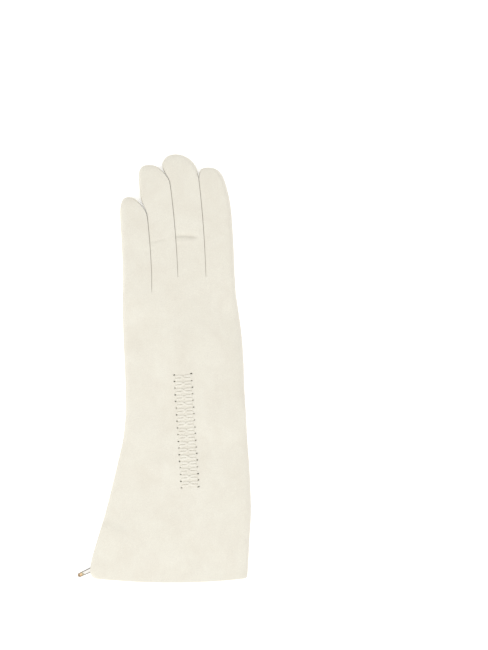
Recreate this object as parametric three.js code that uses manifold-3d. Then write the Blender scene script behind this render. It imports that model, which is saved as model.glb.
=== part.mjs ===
// A long suede glove for a left hand, lying back up with its thumb folded under the palm.
// Millimetres. +X runs to the index side, +Y from the hem to the fingertips, +Z up.
// The glove lies on the plane z = 0. The origin is on the flat underside of the gauntlet.
import * as THREE from 'three';
import { mergeVertices } from 'three/addons/utils/BufferGeometryUtils.js';
import Module from 'manifold-3d';

const wasm = await Module();
wasm.setup();

// Leather
const WALL = 1.0;
const GAP = 0.3;

// Gauntlet: from the hem up to the wrist
const GAUNTLET_LENGTH = 124;
const WRIST_WIDTH = 90;
const WRIST_OUTER_X = -33;
const OUTER_FLARE = 26;
const INNER_FLARE = 3.7;
const GAUNTLET_CROWN_Z = 11.4;
const CROWN_FULLNESS = 3;
const EDGE_TOP_Z = 7.6;
const HEM_TURN = 12;
const HEM_EXTRA_WALL = 0.6;
const HEM_LIP = 1.9;
const OUTER_CORNER_RADIUS = 6;
const INNER_CORNER_RADIUS = 2;
const HEM_SAG = 2.6;

// Hand: from the wrist to the roots of the fingers
const PALM_LENGTH = 104;
const LITTLE_ROOT_DROP = 11.5;
const KNUCKLE_OUTER_X = -35.5;
const KNUCKLE_RISE_LENGTH = 45;

// Fingers: widths at the root, and lengths from the roots of the middle finger
const LITTLE_WIDTH = 22;
const RING_WIDTH = 19.5;
const MIDDLE_WIDTH = 21;
const INDEX_WIDTH = 21.8;
const LITTLE_LENGTH = 59;
const RING_LENGTH = 83;
const MIDDLE_LENGTH = 91;
const INDEX_LENGTH = 81;
const FINGER_HEIGHT = 11.4;
const FINGERTIP_HEIGHT = 10.8;
const FINGER_FOLD_RADIUS = 3.2;
const TIP_ROUND_LENGTH = 12;
const TIP_FULLNESS = 2.3;
const FINGER_ROOT_OVERLAP = 6;
const FINGER_ROOT_SINK = 0.4;
const FINGER_LEAN = 9;
const LEAN_AT_ROOT = 0.35;
const SLIT_WIDTH = 0.7;
const FOURCHETTE_HEIGHT = 4.6;
const FOURCHETTE_WRAP = 1.07;

// Thumb, folded flat beneath the palm
const THUMB_BASE_X = 34;
const THUMB_BASE_Y = 138;
const THUMB_LENGTH = 62;
const THUMB_TURN = 17;
const THUMB_WIDTH = 26;
const THUMB_TAPER = 0.12;
const THUMB_HEIGHT = 2.5;
const THUMB_HOLE_LENGTH = 26;
const THUMB_HOLE_WIDTH = 15;
const THUMB_SLOPE = 14;
const THUMB_SHOWS = 1.6;

// Stitched panel on the back: two columns of awl holes
const PANEL_ROWS = 18;
const PANEL_PITCH = 4.98;
const PANEL_WIDTH = 12.6;
const PANEL_TOP_X = 9.8;
const PANEL_TOP_Y = 154.5;
const PANEL_TURN = 3.7;
const AWL_HOLE_DIAMETER = 1.1;

// Zip in the outer seam of the gauntlet
const ZIP_LENGTH = 38;
const ZIP_INSET = 9;
const ZIP_START = 4.5;
const ZIP_LIFT = 4.6;
const ZIP_SLOPE = 6;
const ZIP_SHOWS = 0.25;
const ZIP_SLOT_WIDTH = 6.6;
const TAPE_WIDTH = 10;
const TAPE_THICKNESS = 0.8;
const CHAIN_WIDTH = 3.4;
const CHAIN_THICKNESS = 1.5;
const TOOTH_PITCH = 2.4;
const TOOTH_ROOT_SHARE = 0.7;
const SLIDER_AT = 12;
const SLIDER_LENGTH = 8.4;
const SLIDER_WIDTH = 5.6;
const SLIDER_PLATE = 0.9;
const BAIL_WIRE = 0.7;
const BAIL_SPAN = 4.2;
const BAIL_FOOT_Z = 0.2;
const PULL_LENGTH = 21;
const PULL_WIDTH = 3.6;
const PULL_TIP_WIDTH = 2.9;
const PULL_TAPER_FROM = 0.4;
const PULL_THICKNESS = 0.9;
const PULL_HOLE_DIAMETER = 1.4;
const PULL_TURN = 25;

// How finely the forms are cut into faces
const COLUMNS = 16;
const FINGER_COLUMNS = 8;
const GAUNTLET_ROWS = 8;
const PALM_ROWS = 8;
const FINGER_ROWS = 9;
const ROUND_ROWS = 4;
const LAST_ROUND_ROW = 0.35;
const ROUND_SIDES = 18;

// Where the gauntlet's two edges run, as shares of its length and of its two flares
const GAUNTLET_SIDES = [
  { along: 0.00, outer: 1.04, inner: 0.25 },
  { along: 0.10, outer: 1.00, inner: 0.45 },
  { along: 0.25, outer: 0.80, inner: 0.70 },
  { along: 0.40, outer: 0.59, inner: 1.00 },
  { along: 0.55, outer: 0.41, inner: 0.88 },
  { along: 0.70, outer: 0.24, inner: 0.62 },
  { along: 0.85, outer: 0.08, inner: 0.25 },
  { along: 1.00, outer: 0.00, inner: 0.00 },
];

// How far the hand's two edges have gone from the wrist's places to the knuckles'
const HAND_SIDES = [
  { along: 0.0, outer: 0.00, inner: 0.00 },
  { along: 0.2, outer: 0.05, inner: 0.16 },
  { along: 0.4, outer: 0.32, inner: 0.24 },
  { along: 0.6, outer: 0.65, inner: 0.42 },
  { along: 0.8, outer: 0.90, inner: 0.76 },
  { along: 0.9, outer: 0.97, inner: 0.94 },
  { along: 1.0, outer: 1.00, inner: 1.00 },
];

// The fingers from the outer edge of the hand
const FINGERS = [
  { name: 'little', width: LITTLE_WIDTH, length: LITTLE_LENGTH },
  { name: 'ring', width: RING_WIDTH, length: RING_LENGTH },
  { name: 'middle', width: MIDDLE_WIDTH, length: MIDDLE_LENGTH },
  { name: 'index', width: INDEX_WIDTH, length: INDEX_LENGTH },
];

// The five lines that bound the fingers: shares of the lean, and of a finger's
// width by which the line swings outward beside the shorter finger's tip
const BOUNDS = [
  { lean: 0.75, swing: 0.00 },
  { lean: 1.10, swing: 0.18 },
  { lean: 1.00, swing: 0.20 },
  { lean: 0.85, swing: 0.00 },
  { lean: 0.75, swing: 0.00 },
];
const SWING_REACH = 14;

// The slider's outline down one side, as shares of its half width and half length
const SLIDER_SIDE = [
  { across: 0.70, along: -1.00 },
  { across: 1.00, along: -0.40 },
  { across: 1.00, along: 0.60 },
  { across: 0.50, along: 1.00 },
];

const WRIST_INNER_X = WRIST_OUTER_X + WRIST_WIDTH;
const ROOTS_Y = GAUNTLET_LENGTH + PALM_LENGTH;

const FINISHES = {
  suede: { color: 0xece6d8, roughness: 0.95, metalness: 0 },
  tape: { color: 0xd9d2bf, roughness: 0.9, metalness: 0 },
  brass: { color: 0xc8a25c, roughness: 0.35, metalness: 1 },
  steel: { color: 0xd8d5d0, roughness: 0.3, metalness: 1 },
};

// 0 below 0, 1 above 1, and a smooth rise between
function smooth(share) {
  const held = Math.min(1, Math.max(0, share));
  return held * held * (3 - 2 * held);
}

function radians(degrees) {
  return degrees * Math.PI / 180;
}

// Reads one column of a table at a share of the way along it, on a smooth curve
function readTable(table, share, column) {
  const last = table.length - 1;
  const held = Math.min(1, Math.max(0, share));
  let row = 0;
  while (row < last - 1 && table[row + 1].along < held) row += 1;
  const at = (index) => table[Math.min(last, Math.max(0, index))];
  const slope = (index) => {
    const before = at(index - 1);
    const after = at(index + 1);
    return (after[column] - before[column]) / (after.along - before.along);
  };
  const start = at(row);
  const end = at(row + 1);
  const span = end.along - start.along;
  const t = (held - start.along) / span;
  const rise = t * t * (3 - 2 * t);
  const leave = t * (1 - t) * (1 - t) * span * slope(row);
  const arrive = t * t * (t - 1) * span * slope(row + 1);
  return start[column] + (end[column] - start[column]) * rise + leave + arrive;
}

// How far a corner of this radius has drawn an edge in, at a distance from the end
function cornerInset(distance, radius) {
  if (distance >= radius) return 0;
  const short = radius - Math.max(0, distance);
  return radius - Math.sqrt(radius * radius - short * short);
}

// X of the four roots' bounds, from the outer edge of the little finger
function rootBounds() {
  const bounds = [KNUCKLE_OUTER_X];
  for (const finger of FINGERS) bounds.push(bounds[bounds.length - 1] + finger.width);
  return bounds;
}
const ROOT_BOUNDS = rootBounds();

function outerEdge(y) {
  if (y <= GAUNTLET_LENGTH) {
    const flare = OUTER_FLARE * readTable(GAUNTLET_SIDES, y / GAUNTLET_LENGTH, 'outer');
    return WRIST_OUTER_X - flare + cornerInset(y, OUTER_CORNER_RADIUS);
  }
  const share = readTable(HAND_SIDES, (y - GAUNTLET_LENGTH) / PALM_LENGTH, 'outer');
  return WRIST_OUTER_X + (ROOT_BOUNDS[0] - WRIST_OUTER_X) * share;
}

function innerEdge(y) {
  if (y <= GAUNTLET_LENGTH) {
    const flare = INNER_FLARE * readTable(GAUNTLET_SIDES, y / GAUNTLET_LENGTH, 'inner');
    return WRIST_INNER_X + flare - cornerInset(y, INNER_CORNER_RADIUS);
  }
  const share = readTable(HAND_SIDES, (y - GAUNTLET_LENGTH) / PALM_LENGTH, 'inner');
  return WRIST_INNER_X + (ROOT_BOUNDS[4] - WRIST_INNER_X) * share;
}

// The zip runs straight, beside the outer edge of the gauntlet
const ZIP_HEAD = new THREE.Vector2(outerEdge(ZIP_LENGTH) + ZIP_INSET, ZIP_LENGTH);
const SLIDER_SPOT = new THREE.Vector2(outerEdge(SLIDER_AT) + ZIP_INSET, SLIDER_AT);
const ZIP_WAY = ZIP_HEAD.clone().sub(SLIDER_SPOT).normalize();
const ZIP_FOOT = SLIDER_SPOT.clone().sub(ZIP_WAY.clone().multiplyScalar(SLIDER_AT));
const ZIP_TURN = ZIP_WAY.angle();

function alongZip(x, y) {
  return (x - ZIP_FOOT.x) * Math.cos(ZIP_TURN) + (y - ZIP_FOOT.y) * Math.sin(ZIP_TURN);
}

function acrossZip(x, y) {
  return (x - ZIP_FOOT.x) * Math.sin(ZIP_TURN) - (y - ZIP_FOOT.y) * Math.cos(ZIP_TURN);
}

// The leather's underside is raised off the surface by the zip beneath it
function zipLift(x, y) {
  const flat = TAPE_WIDTH / 2 + WALL;
  const sideways = smooth(1 - (acrossZip(x, y) - flat) / ZIP_SLOPE);
  const lengthways = smooth(1 - (alongZip(x, y) - ZIP_LENGTH - WALL) / ZIP_SLOPE);
  return ZIP_LIFT * sideways * lengthways;
}

const THUMB_BASE = new THREE.Vector2(THUMB_BASE_X, THUMB_BASE_Y);
const THUMB_WAY = new THREE.Vector2(-Math.sin(radians(THUMB_TURN)), Math.cos(radians(THUMB_TURN)));
const THUMB_REACH = THUMB_LENGTH - THUMB_WIDTH;

// Distance of a point from the line down the middle of the thumb
function thumbDistance(x, y) {
  const from = new THREE.Vector2(x, y).sub(THUMB_BASE);
  const along = Math.min(THUMB_REACH, Math.max(0, from.dot(THUMB_WAY)));
  return from.sub(THUMB_WAY.clone().multiplyScalar(along)).length();
}

// 1 over the thumb, falling to 0 beyond a slope of this width
function overThumb(x, y, slope) {
  const clear = THUMB_WIDTH / 2 + 3 * WALL;
  return smooth(1 - (thumbDistance(x, y) - clear) / slope);
}

function undersideZ(x, y) {
  const thumb = (THUMB_HEIGHT + GAP) * overThumb(x, y, THUMB_SLOPE);
  return Math.max(thumb, zipLift(x, y));
}

// The back of the glove: crowned between its edges, which rise to the fingers' height
function topZ(x, y, share) {
  const across = Math.abs(2 * share - 1);
  const rise = smooth((y - ROOTS_Y + KNUCKLE_RISE_LENGTH) / (KNUCKLE_RISE_LENGTH - LITTLE_ROOT_DROP));
  const edge = EDGE_TOP_Z + (FINGER_HEIGHT - EDGE_TOP_Z) * rise;
  const crown = (GAUNTLET_CROWN_Z - edge) * (1 - Math.pow(across, CROWN_FULLNESS));
  const thumb = THUMB_SHOWS * overThumb(x, y, 2 * THUMB_SLOPE);
  return edge + crown + thumb + ZIP_SHOWS * zipLift(x, y);
}

// Where the hand gives way to the slits between the fingers
function rootsLine(x) {
  const from = ROOT_BOUNDS[1];
  const to = ROOT_BOUNDS[2];
  return ROOTS_Y - LITTLE_ROOT_DROP * (1 - smooth((x - from) / (to - from)));
}

// The hem hangs a little lower in its middle than at its sides
function hemSag(share, along) {
  const middle = 1 - Math.pow(2 * share - 1, 2);
  return -HEM_SAG * (middle - 0.5) * (1 - along);
}

// A closed skin through rings of points. Each end is closed by a strip of faces
// that steps along its upper and its lower half together.
function loft(rings) {
  const size = rings[0].length;
  const points = [];
  const faces = [];
  for (const ring of rings) {
    for (const point of ring) points.push(...point);
  }
  for (let row = 0; row + 1 < rings.length; row += 1) {
    for (let step = 0; step < size; step += 1) {
      const next = (step + 1) % size;
      const low = row * size;
      const high = low + size;
      faces.push(low + step, low + next, high + next);
      faces.push(low + step, high + next, high + step);
    }
  }
  const lastRow = (rings.length - 1) * size;
  const closeEnds = (a, b, c) => {
    faces.push(c, b, a);
    faces.push(lastRow + a, lastRow + b, lastRow + c);
  };
  closeEnds(0, 1, size - 1);
  for (let over = 1; over < size / 2; over += 1) {
    const under = size - over;
    if (over + 1 < under - 1) closeEnds(over, over + 1, under - 1);
    closeEnds(over, under - 1, under);
  }
  return makeSolid(new Float32Array(points), new Uint32Array(faces));
}

function makeSolid(points, faces) {
  const mesh = new wasm.Mesh({ numProp: 3, vertProperties: points, triVerts: faces });
  return new wasm.Manifold(mesh);
}

// Turns a three.js geometry into a solid that can be cut and joined
function solidOf(geometry) {
  const bare = geometry.index ? geometry.toNonIndexed() : geometry.clone();
  bare.deleteAttribute('normal');
  bare.deleteAttribute('uv');
  const merged = mergeVertices(bare, 1e-5);
  return makeSolid(new Float32Array(merged.attributes.position.array), new Uint32Array(merged.index.array));
}

function geometryOf(solid) {
  const mesh = solid.getMesh();
  const geometry = new THREE.BufferGeometry();
  geometry.setAttribute('position', new THREE.BufferAttribute(new Float32Array(mesh.vertProperties), 3));
  geometry.setIndex(new THREE.BufferAttribute(new Uint32Array(mesh.triVerts), 1));
  return geometry;
}

function join(solids) {
  return solids.reduce((whole, solid) => whole.add(solid));
}

// Height above or below a folded edge: a quarter round of this radius
function foldShare(distance, radius) {
  const short = 1 - Math.min(1, Math.max(0, distance) / radius);
  return Math.sqrt(1 - short * short);
}

// One ring round a flat tube: along its top from left to right, and back beneath.
// place(share) gives each column's x, y, low z and high z.
function flatRing(columns, foldRadius, place) {
  const over = [];
  const under = [];
  const first = place(0);
  const last = place(1);
  for (let column = 0; column <= columns; column += 1) {
    const share = (1 - Math.cos(Math.PI * column / columns)) / 2;
    const spot = place(share);
    const edge = Math.min(spot.x - first.x, last.x - spot.x);
    const fold = column === 0 || column === columns ? 0 : foldShare(edge, foldRadius);
    const side = share < 0.5 ? first : last;
    const middle = (side.low + side.high) / 2;
    over.push([spot.x, spot.y, middle + (spot.high - middle) * fold]);
    if (fold > 0) under.push([spot.x, spot.y, middle - (middle - spot.low) * fold]);
  }
  return over.concat(under.reverse());
}

// Gauntlet and hand together, shrunk by a wall on every side, and more inside the turned hem.
// A station is a share of the way from hem (0) to wrist (1), or past it to the roots (2).
function handSolid(wall, stations) {
  const rings = stations.map((station) => {
    const turned = wall > 0 && station * GAUNTLET_LENGTH < HEM_TURN;
    const inset = turned ? wall + HEM_EXTRA_WALL : wall;
    const place = (share) => {
      const lengthAt = (x) => {
        if (station <= 1) return station * GAUNTLET_LENGTH;
        const reach = rootsLine(x) - GAUNTLET_LENGTH;
        return GAUNTLET_LENGTH + (station - 1) * reach;
      };
      const past = Math.max(0, station - 1);
      const straight = (station - past) * GAUNTLET_LENGTH + past * PALM_LENGTH;
      const left = outerEdge(straight) + inset;
      const right = innerEdge(straight) - inset;
      const x = left + (right - left) * share;
      const pull = station >= 2 ? inset : 0;
      const y = lengthAt(x) + hemSag(share, Math.min(1, Math.max(0, station))) - pull;
      return { x, y, low: undersideZ(x, y) + inset, high: topZ(x, y, share) - inset };
    };
    return flatRing(COLUMNS, EDGE_TOP_Z / 2, place);
  });
  return loft(rings);
}

// The stations past the hem's own: both sides of the hem's turned edge, then even steps
function handStations() {
  const turn = HEM_TURN / GAUNTLET_LENGTH;
  const stations = [turn / 3, turn, turn + GAP / GAUNTLET_LENGTH];
  for (let step = 2; step <= GAUNTLET_ROWS; step += 1) stations.push(step / GAUNTLET_ROWS);
  for (let step = 1; step <= PALM_ROWS; step += 1) stations.push(1 + step / PALM_ROWS);
  return stations;
}

// X of a line between two fingers, at a height above the roots
function boundX(index, height) {
  const share = height / MIDDLE_LENGTH;
  const bend = LEAN_AT_ROOT * share + (1 - LEAN_AT_ROOT) * share * share;
  const lean = FINGER_LEAN * BOUNDS[index].lean * bend;
  const before = FINGERS[Math.max(0, index - 1)];
  const after = FINGERS[Math.min(3, index)];
  const shorter = Math.min(before.length, after.length);
  const swing = BOUNDS[index].swing * after.width * smooth((height - shorter + SWING_REACH) / SWING_REACH);
  return ROOT_BOUNDS[index] - Math.max(0, lean) - swing;
}

// A finger is a little lower at its tip than at its root
function fingerTop(share) {
  return FINGER_HEIGHT + (FINGERTIP_HEIGHT - FINGER_HEIGHT) * smooth(share);
}

// The rows that all fingers share, so that neighbours run side by side, up to a height
function rowsBelow(height) {
  const rows = [];
  const step = MIDDLE_LENGTH / FINGER_ROWS;
  for (let row = 0; row * step < height - step / 4; row += 1) rows.push(row * step);
  return rows;
}

// How far along a rounded end one of its rows lies. The last stops just short of the end.
function quarterStep(row) {
  return Math.sin(Math.PI / 2 * row / (ROUND_ROWS + LAST_ROUND_ROW));
}

// One finger, shrunk by inset on every side
function fingerSolid(index, inset) {
  const finger = FINGERS[index];
  const tip = finger.length - inset;
  const straight = tip - TIP_ROUND_LENGTH;
  const crotch = Math.min(rootsLine(ROOT_BOUNDS[index]), rootsLine(ROOT_BOUNDS[index + 1]));
  const start = crotch - ROOTS_Y - FINGER_ROOT_OVERLAP;
  const heights = [start].concat(rowsBelow(straight), [straight]);
  for (let row = 1; row <= ROUND_ROWS; row += 1) {
    heights.push(straight + TIP_ROUND_LENGTH * quarterStep(row));
  }
  const rings = heights.map((height) => {
    const sunk = height < 0 ? FINGER_ROOT_SINK : 0;
    const left = boundX(index, height) + SLIT_WIDTH / 2 + inset + sunk;
    const right = boundX(index + 1, height) - SLIT_WIDTH / 2 - inset - sunk;
    const past = Math.max(0, (height - straight) / TIP_ROUND_LENGTH);
    const round = Math.pow(1 - Math.pow(past, TIP_FULLNESS), 1 / TIP_FULLNESS);
    const middleX = (left + right) / 2;
    const half = (right - left) / 2 * round;
    const top = fingerTop(height / finger.length) - sunk;
    const middleZ = (sunk + top) / 2;
    const halfZ = (top - sunk) / 2 - inset;
    const flat = Math.sqrt(round);
    const place = (share) => ({
      x: middleX + half * (2 * share - 1),
      y: ROOTS_Y + height,
      low: middleZ - halfZ * flat,
      high: middleZ + halfZ * flat,
    });
    return flatRing(FINGER_COLUMNS, Math.min(FINGER_FOLD_RADIUS, half), place);
  });
  return loft(rings);
}

// The whole leather bag, before the sidewall strips are cut out of it
function bagSolid() {
  const stations = handStations();
  const lip = HEM_LIP / GAUNTLET_LENGTH;
  const outer = [handSolid(0, [0, lip].concat(stations))];
  const inner = [handSolid(WALL, [-lip].concat(stations))];
  for (let index = 0; index < FINGERS.length; index += 1) {
    outer.push(fingerSolid(index, 0));
    inner.push(fingerSolid(index, WALL));
  }
  return join(outer).subtract(join(inner));
}

// The room of one side of a fourchette: a band beside a slit, from the crotch up to where
// the finger's tip rounds off. Its far end and its height are grown by a clearance.
function bandSide(index, side, grow) {
  const finger = side < 0 ? FINGERS[index - 1] : FINGERS[index];
  const wide = SLIT_WIDTH / 2 + WALL + FOURCHETTE_WRAP;
  const crotch = rootsLine(ROOT_BOUNDS[index]) - ROOTS_Y - WALL - GAP;
  const tip = finger.length - TIP_ROUND_LENGTH + grow;
  const heights = [crotch].concat(rowsBelow(tip), [tip]);
  const rings = heights.map((height) => {
    const line = boundX(index, height);
    const top = fingerTop(height / finger.length);
    const middle = top / 2;
    const half = FOURCHETTE_HEIGHT / 2 * top / FINGER_HEIGHT + grow;
    const far = line + side * wide;
    const near = line - side * SLIT_WIDTH / 8;
    const left = Math.min(far, near);
    const right = Math.max(far, near);
    const y = ROOTS_Y + height;
    return [
      [left, y, middle + half],
      [right, y, middle + half],
      [right, y, middle - half],
      [left, y, middle - half],
    ];
  });
  return loft(rings);
}

function bandSolid(index, grow) {
  return bandSide(index, -1, grow).add(bandSide(index, 1, grow));
}

// The thumb: a flat tube with both ends closed, shrunk by inset on every side
function thumbSolid(inset) {
  const halfWidth = THUMB_WIDTH / 2;
  const stations = [];
  for (let row = ROUND_ROWS; row > 0; row -= 1) stations.push(-quarterStep(row));
  stations.push(0, 0.5, 1);
  for (let row = 1; row <= ROUND_ROWS; row += 1) stations.push(1 + quarterStep(row));
  const rings = stations.map((station) => {
    const past = Math.max(-station, station - 1, 0);
    const round = Math.sqrt(1 - past * past);
    const straight = Math.min(1, Math.max(0, station));
    const along = straight * THUMB_REACH + (station - straight) * (halfWidth - inset);
    const half = (halfWidth - inset) * round * (1 - THUMB_TAPER * straight);
    const centre = THUMB_BASE.clone().add(THUMB_WAY.clone().multiplyScalar(along));
    const middle = THUMB_HEIGHT / 2;
    const halfZ = (middle - inset) * Math.sqrt(round);
    const place = (share) => ({
      x: centre.x + THUMB_WAY.y * half * (2 * share - 1),
      y: centre.y - THUMB_WAY.x * half * (2 * share - 1),
      low: middle - halfZ,
      high: middle + halfZ,
    });
    return flatRing(FINGER_COLUMNS, THUMB_HEIGHT / 2, place);
  });
  return loft(rings);
}

// The oval hole by which the thumb opens into the palm
function thumbHoleSolid() {
  const oval = new THREE.Shape();
  oval.absellipse(0, 0, THUMB_HOLE_WIDTH / 2, THUMB_HOLE_LENGTH / 2, 0, 2 * Math.PI, false, 0);
  const depth = THUMB_HEIGHT / 2 + GAP + 2 * WALL;
  const cut = { depth, bevelEnabled: false, curveSegments: ROUND_SIDES };
  const geometry = new THREE.ExtrudeGeometry(oval, cut);
  geometry.rotateZ(radians(THUMB_TURN));
  geometry.translate(THUMB_BASE_X, THUMB_BASE_Y, THUMB_HEIGHT / 2);
  return solidOf(geometry);
}

// The awl holes of the stitched panel, in two columns down the back
function awlHoles() {
  const holes = [];
  const turn = radians(PANEL_TURN);
  for (let row = 0; row < PANEL_ROWS; row += 1) {
    for (const side of [-1, 1]) {
      const down = row * PANEL_PITCH;
      const across = side * PANEL_WIDTH / 2;
      const x = PANEL_TOP_X + across * Math.cos(turn) + down * Math.sin(turn);
      const y = PANEL_TOP_Y + across * Math.sin(turn) - down * Math.cos(turn);
      const awl = new THREE.CylinderGeometry(AWL_HOLE_DIAMETER / 2, AWL_HOLE_DIAMETER / 2, 8 * WALL, 6);
      awl.rotateX(Math.PI / 2);
      awl.translate(x, y, GAUNTLET_CROWN_Z);
      holes.push(solidOf(awl));
    }
  }
  return join(holes);
}

// A box in the zip's own frame: across, along and up, from its lowest to its highest corner
function boxSolid(low, high) {
  const geometry = new THREE.BoxGeometry(high[0] - low[0], high[1] - low[1], high[2] - low[2]);
  geometry.translate((low[0] + high[0]) / 2, (low[1] + high[1]) / 2, (low[2] + high[2]) / 2);
  return solidOf(geometry);
}

const TAPE_BOTTOM = ZIP_LIFT + WALL + GAP;
const CHAIN_TOP = TAPE_BOTTOM - GAP;
const CHAIN_BOTTOM = CHAIN_TOP - CHAIN_THICKNESS;
const PLATE_TOP = CHAIN_BOTTOM - GAP;
const PLATE_BOTTOM = PLATE_TOP - SLIDER_PLATE;
const PIVOT_Z = (BAIL_FOOT_Z + BAIL_WIRE + PLATE_BOTTOM) / 2;
const ZIP_GROUP_TURN = ZIP_TURN - Math.PI / 2;
const PULL_HEADING = Math.PI + radians(PULL_TURN);

function placeInZip(solid) {
  const degrees = THREE.MathUtils.radToDeg(ZIP_GROUP_TURN);
  return solid.rotate([0, 0, degrees]).translate([ZIP_FOOT.x, ZIP_FOOT.y, 0]);
}

// What the zip takes out of the leather: its slot, and the tape's room inside the hem
function zipRoomSolid() {
  const slot = ZIP_SLOT_WIDTH / 2;
  const slotCut = boxSolid([-slot, -HEM_TURN, 0], [slot, ZIP_LENGTH + GAP, TAPE_BOTTOM + GAP]);
  const room = TAPE_WIDTH / 2 + GAP;
  const tapeTop = TAPE_BOTTOM + TAPE_THICKNESS;
  const tapeCut = boxSolid([-room, -HEM_TURN, TAPE_BOTTOM - GAP], [room, HEM_TURN + 2 * GAP, tapeTop + GAP]);
  return placeInZip(slotCut.add(tapeCut));
}

function tapeGeometry() {
  const length = ZIP_LENGTH - ZIP_START;
  const geometry = new THREE.BoxGeometry(TAPE_WIDTH, length, TAPE_THICKNESS);
  geometry.translate(0, ZIP_START + length / 2, TAPE_BOTTOM + TAPE_THICKNESS / 2);
  return geometry;
}

// The closed chain: a strip with a row of teeth down each side
function chainGeometry() {
  const half = CHAIN_WIDTH / 2;
  const root = TOOTH_ROOT_SHARE * half;
  const teeth = Math.floor((ZIP_LENGTH - ZIP_START - 2 * GAP) / TOOTH_PITCH);
  const outline = new THREE.Shape();
  outline.moveTo(-root, ZIP_START);
  outline.lineTo(root, ZIP_START);
  for (let tooth = 0; tooth < teeth; tooth += 1) {
    const y = ZIP_START + tooth * TOOTH_PITCH;
    outline.lineTo(half, y + TOOTH_PITCH / 2);
    outline.lineTo(root, y + TOOTH_PITCH);
  }
  for (let tooth = teeth; tooth > 0; tooth -= 1) {
    const y = ZIP_START + tooth * TOOTH_PITCH;
    outline.lineTo(-root, y);
    outline.lineTo(-half, y - TOOTH_PITCH / 2);
  }
  const geometry = new THREE.ExtrudeGeometry(outline, { depth: CHAIN_THICKNESS, bevelEnabled: false });
  geometry.translate(0, 0, CHAIN_BOTTOM);
  return geometry;
}

// The slider: a plate under the chain, two flanges beside it, and the bail that holds the pull
function sliderSolid() {
  const half = SLIDER_WIDTH / 2;
  const length = SLIDER_LENGTH / 2;
  const right = SLIDER_SIDE.map((spot) => new THREE.Vector2(spot.across * half, spot.along * length));
  const left = right.map((spot) => new THREE.Vector2(-spot.x, spot.y)).reverse();
  const outline = new THREE.Shape(right.concat(left));
  const plate = new THREE.ExtrudeGeometry(outline, { depth: SLIDER_PLATE, bevelEnabled: false });
  plate.translate(0, 0, PLATE_BOTTOM);
  const beside = CHAIN_WIDTH / 2 + GAP;
  const flangeTop = TAPE_BOTTOM - GAP;
  const flangeStart = SLIDER_SIDE[1].along * length;
  const flangeEnd = SLIDER_SIDE[2].along * length;
  const pieces = [solidOf(plate)];
  for (const side of [-1, 1]) {
    const near = Math.min(side * beside, side * half);
    const far = Math.max(side * beside, side * half);
    pieces.push(boxSolid([near, flangeStart, PLATE_TOP - GAP], [far, flangeEnd, flangeTop]));
  }
  const span = BAIL_SPAN / 2 + BAIL_WIRE / 2;
  const wire = BAIL_WIRE / 2;
  const bar = boxSolid([-span, -wire, BAIL_FOOT_Z], [span, wire, BAIL_FOOT_Z + BAIL_WIRE]);
  const legs = [-1, 1].map((side) => {
    const middle = side * BAIL_SPAN / 2;
    return boxSolid([middle - wire, -wire, BAIL_FOOT_Z], [middle + wire, wire, PLATE_TOP - GAP]);
  });
  const bail = join([bar].concat(legs));
  const turn = THREE.MathUtils.radToDeg(PULL_HEADING - ZIP_GROUP_TURN);
  pieces.push(bail.rotate([0, 0, turn]));
  return join(pieces);
}

// The pull: a flat tab with an eye round the bail's leg and a small hole at its tip
function pullGeometry() {
  const half = PULL_WIDTH / 2;
  const tipHalf = PULL_TIP_WIDTH / 2;
  const bar = PULL_THICKNESS / 2;
  const outline = new THREE.Shape();
  outline.moveTo(-bar, -half);
  outline.lineTo(PULL_TAPER_FROM * PULL_LENGTH, -half);
  outline.lineTo(PULL_LENGTH - tipHalf, -tipHalf);
  outline.absarc(PULL_LENGTH - tipHalf, 0, tipHalf, -Math.PI / 2, Math.PI / 2, false);
  outline.lineTo(PULL_TAPER_FROM * PULL_LENGTH, half);
  outline.lineTo(-bar, half);
  outline.closePath();
  const eyeHalf = BAIL_WIRE / 2 + 2 * GAP;
  const eyeEnd = Math.hypot(BAIL_SPAN / 2 + BAIL_WIRE / 2, PIVOT_Z - BAIL_FOOT_Z) + GAP;
  const eye = new THREE.Path();
  eye.moveTo(bar, -eyeHalf);
  eye.lineTo(bar, eyeHalf);
  eye.lineTo(eyeEnd, eyeHalf);
  eye.lineTo(eyeEnd, -eyeHalf);
  eye.closePath();
  const hole = new THREE.Path();
  hole.absarc(PULL_LENGTH - tipHalf, 0, PULL_HOLE_DIAMETER / 2, 0, 2 * Math.PI, true);
  outline.holes.push(eye, hole);
  const geometry = new THREE.ExtrudeGeometry(outline, {
    depth: PULL_THICKNESS,
    bevelEnabled: false,
    curveSegments: 8,
  });
  geometry.translate(0, 0, -PULL_THICKNESS / 2);
  return geometry;
}

function piece(name, geometry, finish) {
  const mesh = new THREE.Mesh(geometry, new THREE.MeshStandardMaterial(FINISHES[finish]));
  mesh.name = name;
  return mesh;
}

const bag = bagSolid();
const glove = new THREE.Group();

const bandRooms = [1, 2, 3].map((index) => bandSolid(index, GAP));
const openings = [thumbHoleSolid(), awlHoles(), zipRoomSolid()];
const trank = bag.subtract(join(bandRooms.concat(openings)));
glove.add(piece('trank', geometryOf(trank), 'suede'));

for (let index = 1; index <= 3; index += 1) {
  const strip = bag.intersect(bandSolid(index, 0));
  const name = `fourchette_${FINGERS[index - 1].name}_${FINGERS[index].name}`;
  glove.add(piece(name, geometryOf(strip), 'suede'));
}

const thumb = thumbSolid(0).subtract(thumbSolid(WALL)).subtract(thumbHoleSolid());
glove.add(piece('thumb', geometryOf(thumb), 'suede'));

const zip = new THREE.Group();
zip.position.set(ZIP_FOOT.x, ZIP_FOOT.y, 0);
zip.rotation.z = ZIP_GROUP_TURN;
zip.add(piece('zip_tape', tapeGeometry(), 'tape'));
zip.add(piece('zip_chain', chainGeometry(), 'brass'));
const slider = piece('zip_slider', geometryOf(sliderSolid()), 'steel');
slider.position.y = SLIDER_AT;
zip.add(slider);

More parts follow.
